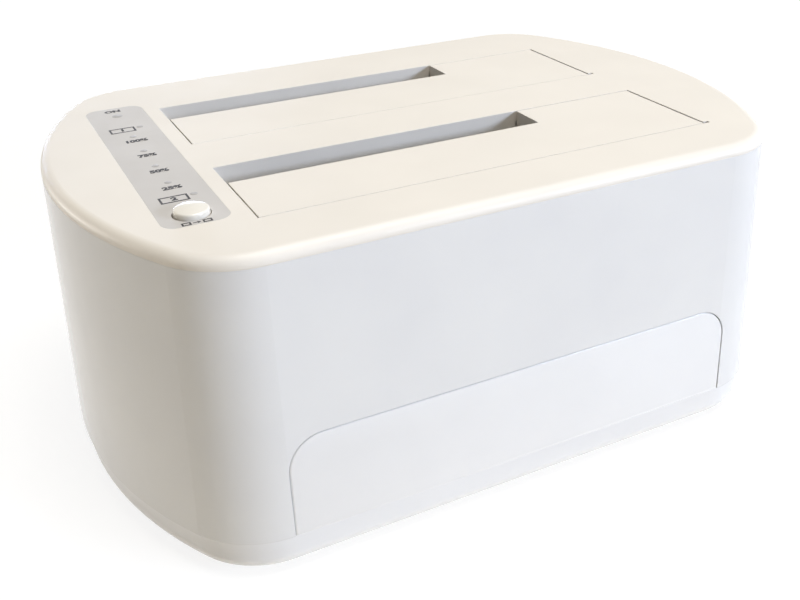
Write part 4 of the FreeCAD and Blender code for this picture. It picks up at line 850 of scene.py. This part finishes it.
def make_button():
    """The button as one turned form: stem, flange and a softly domed cap."""
    low, high = extent("clone_button")
    x, y = (low.x + high.x) / 2, (low.y + high.y) / 2
    flange = (high.x - low.x) / 2
    shoulder = high.z - CAP_RISE
    profile = [(0, low.z), (BUTTON_STEM, low.z), (BUTTON_STEM, shoulder - BUTTON_FLANGE)]
    profile += [(flange, shoulder - BUTTON_FLANGE), (flange, shoulder), (BUTTON_CAP, shoulder)]
    profile += quarter(BUTTON_CAP, high.z - BUTTON_DOME, BUTTON_BEND)
    crown = BUTTON_CAP - BUTTON_BEND
    for share in DOME_RINGS:
        profile.append((crown * share, high.z - BUTTON_DOME * share * share))
    profile.append((0, high.z))
    bm = bmesh.new()
    revolve(bm, profile, BUTTON_STEPS, (x, y, 0))
    mesh = finish_mesh(bm, "button_turned_form", sharp=50)
    add_piece(mesh, "button_plastic", body="clone_button", replaced="clone_button")


# half the thickness of every print
PRINT_DEPTH = 0.006
# letters: size, how much wider and bolder than the plain font, and steps along each curve
LETTER_SIZE = 2.1
LETTER_WIDE = 1.06
LETTER_BOLD = 0.062
LETTER_STEPS = 3
PROGRESS_NUMBERS = ("25%", "50%", "75%", "100%")
# outline of a drive: width, height and line, and the same for the two small drives of the copy mark
DRIVE_MARK = (5.6, 3.1, 0.42)
COPY_MARK = (1.75, 1.3, 0.34)
# how far each small drive is from the middle of the copy mark, and the arrow between them
COPY_SPREAD = 1.95
COPY_ARROW = ((-0.75, -0.13), (0.1, -0.13), (0.1, -0.5), (0.75, 0), (0.1, 0.5), (0.1, 0.13), (-0.75, 0.13))
# lamps nearer than this across the label are in the row of the progress lamps
SAME_ROW = 0.5
# across and along the label: each number from its lamp, a drive's outline and ON from theirs, and the
# copy mark from the row and the label's near end
NUMBER_PLACE = (0, -3.1)
DRIVE_PLACE = (-1.1, -0.75)
ON_PLACE = (-0.3, 3.85)
COPY_PLACE = (-0.2, 0.95)
# radius of the window over the power lamp and over each of the others, how deep its foot is and how
# high it stands, and its top's share of its radius
POWER_WINDOW = 1.2
LAMP_WINDOW = 0.75
WINDOW_ROOT = 0.05
WINDOW_RISE = 0.02
WINDOW_TOP = 0.9
WINDOW_STEPS = 32


def lettering(words, size, place, wide):
    """Generic words or numbers as a thin print, centred on a place in millimetres."""
    curve = bpy.data.curves.new("lettering", "FONT")
    curve.body = words
    curve.size = size
    curve.align_x, curve.align_y = "CENTER", "CENTER"
    curve.offset = LETTER_BOLD * size
    curve.extrude = PRINT_DEPTH
    curve.resolution_u = LETTER_STEPS
    holder = bpy.data.objects.new("lettering", curve)
    bpy.context.collection.objects.link(holder)
    depsgraph = bpy.context.evaluated_depsgraph_get()
    mesh = bpy.data.meshes.new_from_object(holder.evaluated_get(depsgraph), depsgraph=depsgraph)
    bpy.data.objects.remove(holder)
    mesh.transform(Matrix.Translation(place) @ Matrix.Diagonal((wide, 1, 1, 1)))
    return mesh


def drive_outline(bm, place, width, height, line):
    """A thin printed rectangle, open in the middle, that stands for a drive."""
    x, y, z = place
    rings = []
    for inset, level in ((0, -PRINT_DEPTH), (0, PRINT_DEPTH), (line, PRINT_DEPTH), (line, -PRINT_DEPTH)):
        across, up = width / 2 - inset, height / 2 - inset
        corners = ((-across, -up), (across, -up), (across, up), (-across, up))
        rings.append([bm.verts.new((x + a, y + b, z + level)) for a, b in corners])
    join_walls(bm, [*rings, rings[0]])


def copy_mark(bm, place):
    """Two small drives with an arrow from one to the other."""
    x, y, z = place
    for side in (-1, 1):
        drive_outline(bm, (x + side * COPY_SPREAD, y, z), *COPY_MARK)
    levels = (z - PRINT_DEPTH, z + PRINT_DEPTH)
    join_rings(bm, [[bm.verts.new((x + a, y + b, level)) for a, b in COPY_ARROW] for level in levels])


def make_label_print():
    """Numbers beside the lamps, a numbered drive at each end of the row and a copy mark at the button."""
    low, high = extent("indicator_label")
    lamps = [((a.x + b.x) / 2, (a.y + b.y) / 2) for a, b in solids_in("status_leds")]
    row_x = min(x for x, _ in lamps)
    row = sorted(y for x, y in lamps if x - row_x < SAME_ROW)
    z = high.z + PRINT_DEPTH * 2
    drives = sorted(y for x, y in lamps if x - row_x > SAME_ROW)
    target, source = [(row_x + DRIVE_PLACE[0], y + DRIVE_PLACE[1]) for y in drives]
    texts = [(words, row_x + NUMBER_PLACE[0], y + NUMBER_PLACE[1]) for words, y in zip(PROGRESS_NUMBERS, row)]
    texts += [("ON", row_x + ON_PLACE[0], row[-1] + ON_PLACE[1]), ("1", *source), ("2", *target)]
    bm = bmesh.new()
    for words, x, y in texts:
        bm.from_mesh(lettering(words, LETTER_SIZE, (x, y, z), LETTER_WIDE))
    for x, y in (source, target):
        drive_outline(bm, (x, y, z), *DRIVE_MARK)
    copy_mark(bm, (row_x + COPY_PLACE[0], low.y + COPY_PLACE[1], z))
    add_piece(finish_mesh(bm, "label_print"), "label_film", INK)
    bm = bmesh.new()
    for x, y in lamps:
        radius = POWER_WINDOW if y == row[-1] else LAMP_WINDOW
        foot, top = high.z - WINDOW_ROOT, high.z + WINDOW_RISE
        disc = [(0, foot), (radius, foot), (radius, high.z), (radius * WINDOW_TOP, top), (0, top)]
        revolve(bm, disc, WINDOW_STEPS, (x, y, 0))
    add_piece(finish_mesh(bm, "lamp_windows"), "label_film", WINDOW)


# ------------------------------------------------------------------ front panel

# radii of the panel's two upper corners and of its edge, how far it fills the gap round it, and its plate
PANEL_CORNER = 7.2
PANEL_EDGE = 0.45
PANEL_FIT = 0.1
PANEL_PLATE = 1.2
EDGE_STEPS = 4


def make_panel():
    """The inlay: an arch in the leaning plane of the front wall, with a rounded edge all round."""
    face = max(NODES["front_panel"].data.polygons, key=lambda polygon: polygon.area)
    out = face.normal.copy()
    low, high = extent("front_panel")
    along = Vector((1, 0, 0))
    up = out.cross(along).normalized()
    if up.z < 0:
        up.negate()
    on_plane = Vector(NODES["front_panel"].data.vertices[face.vertices[0]].co) / MM
    middle = (low.x + high.x) / 2
    foot_y = on_plane.y - (low.z - on_plane.z) * out.z / out.y
    foot = Vector((middle, foot_y, low.z))
    half, tall = (high.x - low.x) / 2 + PANEL_FIT, (high.z - low.z) / up.z + PANEL_FIT
    bm = bmesh.new()
    rings = []
    bends = [math.pi / 2 * step / EDGE_STEPS for step in range(EDGE_STEPS + 1)]
    depths = [(PANEL_EDGE * (1 - math.sin(a)), PANEL_EDGE * (1 - math.cos(a))) for a in bends]
    for inset, depth in [*depths, (0, PANEL_PLATE)]:
        points = arch(half - inset, inset, tall - inset, PANEL_CORNER + PANEL_FIT - inset)
        rings.append([bm.verts.new(foot + along * x + up * u - out * depth) for x, u in points])
    join_rings(bm, rings)
    mesh = finish_mesh(bm, "panel_inlay", sharp=50)
    add_piece(mesh, "panel_plastic", replaced="front_panel")


# ------------------------------------------------------------------ screws and springs

# the head's radius as a multiple of the thread's
HEAD_RATIO = 2.05
HEAD_RISE = 1.8
# the head's side and top, as shares of its radius and its rise
HEAD_CURVE = ((1, 0), (1, 0.45), (0.93, 0.8), (0.75, 1))
# the thread's pitch and depth, how far its rings stop short of the seat, and the plain neck there
THREAD_PITCH = 1.1
THREAD_DEPTH = 0.2
THREAD_STOP = 1
NECK = 0.4
# the point's share of the thread's root
SCREW_POINT = 0.5
# the cross recess: its reach and half width as shares of the head's radius, its depth as a share of the
# head's rise, and its floor as a share of its mouth
RECESS_REACH = 0.52
RECESS_ARM = 0.13
RECESS_DEPTH = 0.6
RECESS_FLOOR = 0.55
SCREW_STEPS = 24


def screw_mesh(head, rise, length):
    """A pan-head screw, head up, with a cross recess and ring threads. Its seat is at height 0."""
    core = head / HEAD_RATIO
    root = core - THREAD_DEPTH
    profile = [(0, -length), (root * SCREW_POINT, -length)]
    rings = int((length - THREAD_STOP) / THREAD_PITCH)
    for ring in range(rings):
        z = THREAD_PITCH * (ring + 0.5) - length
        profile += [(root, z), (core, z + THREAD_PITCH * 0.5)]
    profile += [(root, -NECK), (core, 0)]
    profile += [(head * wide, rise * high) for wide, high in HEAD_CURVE]
    bm = bmesh.new()
    rim = revolve(bm, profile, SCREW_STEPS)[-1]
    reach, arm, deep = head * RECESS_REACH, head * RECESS_ARM, rise * RECESS_DEPTH
    cross = []
    for turn in range(4):
        spin = Matrix.Rotation(math.pi / 2 * turn, 3, "Z")
        cross += [spin @ Vector(spot) for spot in ((reach, -arm, rise), (reach, arm, rise), (arm, arm, rise))]
    mouth = [bm.verts.new(spot) for spot in cross]
    foot = [(spot.x * RECESS_FLOOR, spot.y * RECESS_FLOOR, rise - deep) for spot in cross]
    floor = [bm.verts.new(spot) for spot in foot]
    around = range(len(mouth))
    for step in around:
        after = (step + 1) % len(mouth)
        bm.faces.new([mouth[step], mouth[after], floor[after], floor[step]])
    bm.faces.new(floor)
    edges = [bm.edges.get((mouth[step], mouth[(step + 1) % len(mouth)])) for step in around]
    edges += [bm.edges.get((rim[step], rim[(step + 1) % len(rim)])) for step in range(len(rim))]
    bmesh.ops.triangle_fill(bm, use_beauty=True, edges=edges)
    return finish_mesh(bm, "screw", sharp=40)


# each group of screws, and whether its heads are at the top
SCREWS = {"base_screws": False, "board_screws": True, "cage_screws": False, "control_screws": False}


def make_screws():
    """Cross-head screws in place of every group, each turned by its own angle."""
    tree = parts_on_points()
    for seed, (node, head_up) in enumerate(SCREWS.items()):
        boxes = solids_in(node)
        low, high = boxes[0]
        head, length = (high.x - low.x) / 2, high.z - low.z - HEAD_RISE
        mesh = screw_mesh(head, HEAD_RISE, length)
        if not head_up:
            mesh.transform(Matrix.Rotation(math.pi, 4, "X"))
        seat = high.z - HEAD_RISE if head_up else low.z + HEAD_RISE
        spots = [((a.x + b.x) / 2, (a.y + b.y) / 2, seat) for a, b in boxes]
        values = {"Most Turn": math.pi / 2, "Seed": seed}
        made = repeat(f"{node}_cross_head", spots, mesh, tree, FINISHES["screw_steel"], **values)
        add_piece(made, "screw_steel", replaced=node)


# thickness of the wire, turns of the coil, and how far each turn goes along the pin
SPRING_WIRE = 0.36
SPRING_TURNS = 3
SPRING_PITCH = 0.6
TURN_STEPS = 24
WIRE_SIDES = 8


def make_springs():
    """Round wire: a short leg on the cover, the coil round the pin and a long leg under the flap."""
    tree = wire_along_path()
    for bay in ("front", "rear"):
        low, high = extent(f"flap_spring_{bay}")
        pin_low, pin_high = extent(f"hinge_pin_{bay}")
        y, z = (pin_low.y + pin_high.y) / 2, (pin_low.z + pin_high.z) / 2
        coil = high.z - z - SPRING_WIRE / 2
        x = low.x + SPRING_WIRE / 2
        spots = [(x, low.y, z + coil)]
        for step in range(SPRING_TURNS * TURN_STEPS + 1):
            turn = step / TURN_STEPS
            angle = 2 * math.pi * turn
            spots.append((x + SPRING_PITCH * turn, y + coil * math.sin(angle), z + coil * math.cos(angle)))
        spots.append((x + SPRING_PITCH * SPRING_TURNS, high.y, z + coil))
        path = bpy.data.meshes.new("spring_path")
        edges = [(step, step + 1) for step in range(len(spots) - 1)]
        path.from_pydata([Vector(spot) * MM for spot in spots], edges, [])
        values = {"Thickness": SPRING_WIRE * MM, "Sides": WIRE_SIDES, "Finish": FINISHES["spring_wire"]}
        made = grow(f"flap_spring_wire_{bay}", path, tree, values)
        for polygon in made.polygons:
            polygon.use_smooth = True
        add_piece(made, "spring_wire", replaced=f"flap_spring_{bay}")


# ------------------------------------------------------------------ contacts, leads and small parts

# a drive socket's contacts, the lengths of its two slots, how far they are from its ends, and half the
# width of a slot
CONTACT_PITCH = 1.27
SIGNAL_CONTACTS = 7
POWER_CONTACTS = 15
SIGNAL_SLOT = 12.0
POWER_SLOT = 22.0
SLOT_END = 2.2
SLOT_HALF = 0.65
# one leaf contact, how far it starts below the socket's mouth, and how much its edges are eased
LEAF = (0.8, 0.14, 5.2)
LEAF_SINK = 0.4
LEAF_EASE = 0.04


def box_mesh(name, size, chamfer):
    """A small chamfered bar that stands on the origin."""
    bm = bmesh.new()
    x, y, z = size
    block(bm, (-x / 2, -y / 2, 0), (x / 2, y / 2, z), chamfer)
    return finish_mesh(bm, name)


def make_drive_contacts():
    """Gold leaf contacts along the wall of each drive socket's two slots."""
    tree = rows_of_parts()
    rows = {SIGNAL_CONTACTS: [], POWER_CONTACTS: []}
    for bay in ("front", "rear"):
        low, high = extent(f"sata_connector_{bay}")
        y = (low.y + high.y) / 2 - SLOT_HALF + LEAF[1]
        z = high.z - LEAF[2] - LEAF_SINK
        signal, power = low.x + SLOT_END + SIGNAL_SLOT / 2, high.x - SLOT_END - POWER_SLOT / 2
        for count, middle in ((SIGNAL_CONTACTS, signal), (POWER_CONTACTS, power)):
            rows[count].append((middle - CONTACT_PITCH * (count - 1) / 2, y, z))
    for count, starts in rows.items():
        values = {"Count": count, "Pitch": CONTACT_PITCH * MM}
        mesh = box_mesh("leaf_contact", LEAF, LEAF_EASE)
        made = repeat(f"drive_contacts_{count}", starts, mesh, tree, GOLD, **values)
        add_piece(made, "contact_metal", GOLD)


# the contacts on the port's two tongues, from below: name, count and pitch
PORT_ROWS = (("port_contacts_lower", 4, 1.2), ("port_contacts_upper", 5, 0.8))
# one of them: width as a share of the pitch, length as a share of the tongue, thickness, how far it is from
# the tongue's end, how deep it lies in the tongue, and how much its edges are eased
BLADE_WIDTH = 0.5
BLADE_LENGTH = 0.8
BLADE_THICKNESS = 0.12
BLADE_END = 0.5
BLADE_SINK = 0.05
BLADE_EASE = 0.03


def make_port_contacts():
    """Four contacts on the lower tongue of the port and five on the upper one."""
    tree = rows_of_parts()
    tongues = sorted(solids_in("usb_tongue"), key=lambda box: box[0].z)
    for (name, count, pitch), (low, high) in zip(PORT_ROWS, tongues):
        length = (high.y - low.y) * BLADE_LENGTH
        mesh = box_mesh("tongue_contact", (pitch * BLADE_WIDTH, length, BLADE_THICKNESS), BLADE_EASE)
        x = (low.x + high.x) / 2 - pitch * (count - 1) / 2
        start = (x, high.y - length / 2 - BLADE_END, high.z - BLADE_SINK)
        made = repeat(name, [start], mesh, tree, GOLD, Count=count, Pitch=pitch * MM)
        add_piece(made, "contact_metal", GOLD)


# a chip's body: how far it stands off the board, and the drafted faces' share of its middle
CHIP_LIFT = 0.1
CHIP_DRAFT = 0.94
# the round mark at pin 1 as radius and height, and how far in it is, as a share of half the chip
PIN_MARK = ((0, -0.06), (0.5, 0.0), (0.42, 0.03), (0, 0.03))
PIN_MARK_INSET = 0.3
PIN_MARK_STEPS = 20
# leads on one side, their pitch, half the width of one, and its outline as reach and height
LEADS = 12
LEAD_PITCH = 0.8
LEAD_HALF = 0.16
LEAD_UNDERSIDE = ((-0.2, 0.55), (0.35, 0.55), (0.55, 0.0), (1.0, 0.0))
LEAD_TOP = ((1.0, 0.14), (0.64, 0.14), (0.44, 0.69), (-0.2, 0.69))


def make_chips():
    """Moulded chips with a drafted edge, a pin mark and gull-wing leads on all four sides."""
    boxes = solids_in("bridge_chips")
    bm = bmesh.new()
    for low, high in boxes:
        middle, half = (low + high) / 2, (high - low) / 2
        levels = ((low.z + CHIP_LIFT, CHIP_DRAFT), (middle.z, 1.0), (high.z, CHIP_DRAFT))
        rings = []
        for z, share in levels:
            x, y = half.x * share, half.y * share
            spots = ((-x, -y), (x, -y), (x, y), (-x, y))
            rings.append([bm.verts.new((middle.x + a, middle.y + b, z)) for a, b in spots])
        join_rings(bm, rings)
        place = (low.x + half.x * PIN_MARK_INSET, high.y - half.y * PIN_MARK_INSET, high.z)
        revolve(bm, PIN_MARK, PIN_MARK_STEPS, place)
    add_piece(finish_mesh(bm, "moulded_chips"), "chip_epoxy", replaced="bridge_chips")
    bm = bmesh.new()
    outline = LEAD_UNDERSIDE + LEAD_TOP
    join_rings(bm, [[bm.verts.new((x, y, z)) for y, z in outline] for x in (-LEAD_HALF, LEAD_HALF)])
    reach = (boxes[0][1].x - boxes[0][0].x) / 2
    spots = [((low.x + high.x) / 2, (low.y + high.y) / 2, low.z) for low, high in boxes]
    values = {"Count": LEADS, "Pitch": LEAD_PITCH * MM, "Reach": reach * MM}
    made = repeat("chip_leads", spots, finish_mesh(bm, "gull_wing_lead"), leads_round_chips(), TIN, **values)
    add_piece(made, "contact_metal", TIN)


# the board's two free strips: how far the first is from the drive sockets and from the chips, where the
# second starts and ends from the board's left edge, and how far both are from its front and rear edges
SOCKET_GAP = 4
CHIP_GAP = 20
EDGE_STRIP = (8, 16)
STRIP_FRONT = 8
STRIP_REAR = 22
# a resistor's body, half a tinned end, how far the end is from the middle, and how much edges are eased
RESISTOR = (1.1, 0.8, 0.45)
TINNED_END = (0.2, 0.42, 0.48)
END_REACH = 0.7
RESISTOR_EASE = 0.04
# the least distance between two resistors, the most of them on a square metre, and the scatter's seed
RESISTOR_GAP = 3.2
RESISTOR_DENSITY = 2e5
RESISTOR_SEED = 7


def make_small_parts():
    """Chip resistors scattered over the free strips of the main board, each with tinned ends."""
    board_low, board_high = extent("main_board")
    socket_right = extent("sata_connector_front")[1].x
    chip_left = extent("bridge_chips")[0].x
    first_strip = (socket_right + SOCKET_GAP, chip_left - CHIP_GAP)
    second_strip = [board_low.x + side for side in EDGE_STRIP]
    low, high = board_low.y + STRIP_FRONT, board_high.y - STRIP_REAR
    spots, faces = [], []
    for left, right in (first_strip, second_strip):
        faces.append(list(range(len(spots), len(spots) + 4)))
        spots += [(left, low), (right, low), (right, high), (left, high)]
    mesh = bpy.data.meshes.new("free_strips")
    mesh.from_pydata([Vector((x, y, board_high.z)) * MM for x, y in spots], [], faces)
    tree = parts_over_patches()
    body = box_mesh("resistor_body", RESISTOR, RESISTOR_EASE)
    thick, wide, tall = TINNED_END
    ends = bmesh.new()
    for x in (-END_REACH, END_REACH):
        block(ends, (x - thick, -wide, 0), (x + thick, wide, tall), RESISTOR_EASE)
    masters = (("resistor_bodies", body, "chip_epoxy", FINISHES["chip_epoxy"]),)
    masters += (("resistor_ends", finish_mesh(ends, "resistor_ends"), "contact_metal", TIN),)
    settings = {"Gap": RESISTOR_GAP * MM, "Density": RESISTOR_DENSITY, "Seed": RESISTOR_SEED}
    for name, master, slot, finish in masters:
        part = pattern_object(master)
        values = {"Part": part, "Finish": finish, **settings}
        made = grow(name, mesh.copy(), tree, values)
        bpy.data.objects.remove(part)
        add_piece(made, slot, finish)


# a capacitor's plastic base and its chamfer, and the can's share of the base's half width
CAN_BASE = 0.8
BASE_CHAMFER = 0.25
CAN_SHARE = 0.97
# the crimp as a share of the can's radius and height above the base, and the can's round shoulder
CRIMP = ((1, 0.5), (0.93, 0.8), (1, 1.1))
CAN_SHOULDER = 0.4
CAN_STEPS = 40
# how far the can's top, the mark's foot and the mark's top are below the highest point
CAN_DROP = 0.02
MARK_DROPS = (0.03, 0.005)
# the black mark: how far in from the can's side, its first angle and its sweep, in degrees
MARK_INSET = 0.5
MARK_START = 130
MARK_SWEEP = 100
MARK_STEPS = 12


def make_capacitors():
    """Surface-mount cans: a chamfered plastic base, a crimped neck, a round shoulder and a black mark."""
    boxes = solids_in("capacitors")
    bases, cans, marks = bmesh.new(), bmesh.new(), bmesh.new()
    for low, high in boxes:
        x, y, radius = (low.x + high.x) / 2, (low.y + high.y) / 2, (high.x - low.x) / 2
        foot = low.z + CAN_BASE
        block(bases, low, (high.x, high.y, foot), BASE_CHAMFER)
        can, top = radius * CAN_SHARE, high.z - CAN_DROP
        profile = [(0, foot), (can, foot), *[(can * share, foot + rise) for share, rise in CRIMP]]
        profile += quarter(can, top, CAN_SHOULDER)
        profile.append((0, top))
        revolve(cans, profile, CAN_STEPS, (x, y, 0))
        crown = can - MARK_INSET
        angles = [math.radians(MARK_START + MARK_SWEEP * step / MARK_STEPS) for step in range(MARK_STEPS + 1)]
        edge = [(x + crown * math.cos(a), y + crown * math.sin(a)) for a in angles]
        levels = [high.z - drop for drop in MARK_DROPS]
        join_rings(marks, [[marks.verts.new((a, b, z)) for a, b in edge] for z in levels])
    add_piece(finish_mesh(cans, "capacitor_cans", sharp=50), "capacitor_can", replaced="capacitors")
    add_piece(finish_mesh(bases, "capacitor_bases"), "switch_plastic")
    add_piece(finish_mesh(marks, "capacitor_marks"), "label_film", INK)


# how high a lamp's body is, as a share of the lamp, and how much its edges are eased
LAMP_BODY = 0.7
LAMP_EASE = 0.05
# the resin's dome: radius as a share of the lamp's width, and height as a share of the lamp's height
LAMP_DOME = ((0, 0.68), (0.42, 0.68), (0.36, 0.88), (0.2, 0.98), (0, 1))
DOME_STEPS = 20


def make_lamps():
    """Each lamp is a white ceramic body with a low dome of phosphor resin."""
    boxes = solids_in("status_leds")
    low, high = boxes[0]
    long, wide, tall = high - low
    spots = [((a.x + b.x) / 2, (a.y + b.y) / 2, a.z) for a, b in boxes]
    tree = parts_on_points()
    values = {"Most Turn": 0.0, "Seed": 1}
    body = box_mesh("lamp_body", (long, wide, tall * LAMP_BODY), LAMP_EASE)
    made = repeat("lamp_bodies", spots, body, tree, FINISHES["led_package"], **values)
    add_piece(made, "led_package", replaced="status_leds")
    bm = bmesh.new()
    revolve(bm, [(wide * share, tall * height) for share, height in LAMP_DOME], DOME_STEPS)
    made = repeat("lamp_domes", spots, finish_mesh(bm, "lamp_dome", sharp=60), tree, RESIN, **values)
    add_piece(made, "led_package", RESIN)


# ------------------------------------------------------------------ rocker

# the rocker's lean when off, where its pivot is from front to rear, and its face: half its length, and how
# far its ends and its middle are from the pivot
ROCKER_TILT = math.radians(9)
PIVOT_Y = 52.365
ROCKER_HALF = 5.4
ROCKER_CREST = 2.3
ROCKER_DIP = 1.5
# each mark, and how far it is from the middle
ROCKER_MARKS = {"I": 2.7, "O": -2.7}
ROCKER_LETTER = 3.0


def make_rocker_marks():
    """I and O, pad printed on the two slopes of the tilted rocker."""
    well_low, well_high = extent("power_switch")
    pivot = Vector(((well_low.x + well_high.x) / 2, PIVOT_Y, (well_low.z + well_high.z) / 2))
    slope = math.atan((ROCKER_CREST - ROCKER_DIP) / ROCKER_HALF)
    bm = bmesh.new()
    for words, across in ROCKER_MARKS.items():
        side = math.copysign(1, across)
        mesh = lettering(words, ROCKER_LETTER, (0, 0, 0), 1)
        out = ROCKER_DIP + abs(across) * math.tan(slope) + PRINT_DEPTH * 2
        stand = Matrix.Rotation(math.pi, 4, "Z") @ Matrix.Rotation(math.pi / 2, 4, "X")
        lean = Matrix.Rotation(slope * side, 4, "Z")
        mesh.transform(Matrix.Translation((across, out, 0)) @ lean @ stand)
        mesh.transform(Matrix.Translation(pivot) @ Matrix.Rotation(ROCKER_TILT, 4, "Z"))
        bm.from_mesh(mesh)
    add_piece(finish_mesh(bm, "rocker_marks"), "rocker_plastic", WHITE_INK, "power_rocker")


make_camera()
make_world()
make_floor()
for name, light in LIGHTS.items():
    area_light(name, *light)
bpy.context.scene.view_settings.view_transform = "Standard"

dress_nodes()
make_button()
make_label_print()
make_panel()
make_screws()
make_springs()
make_drive_contacts()
make_port_contacts()
make_chips()
make_small_parts()
make_capacitors()
make_lamps()
make_rocker_marks()
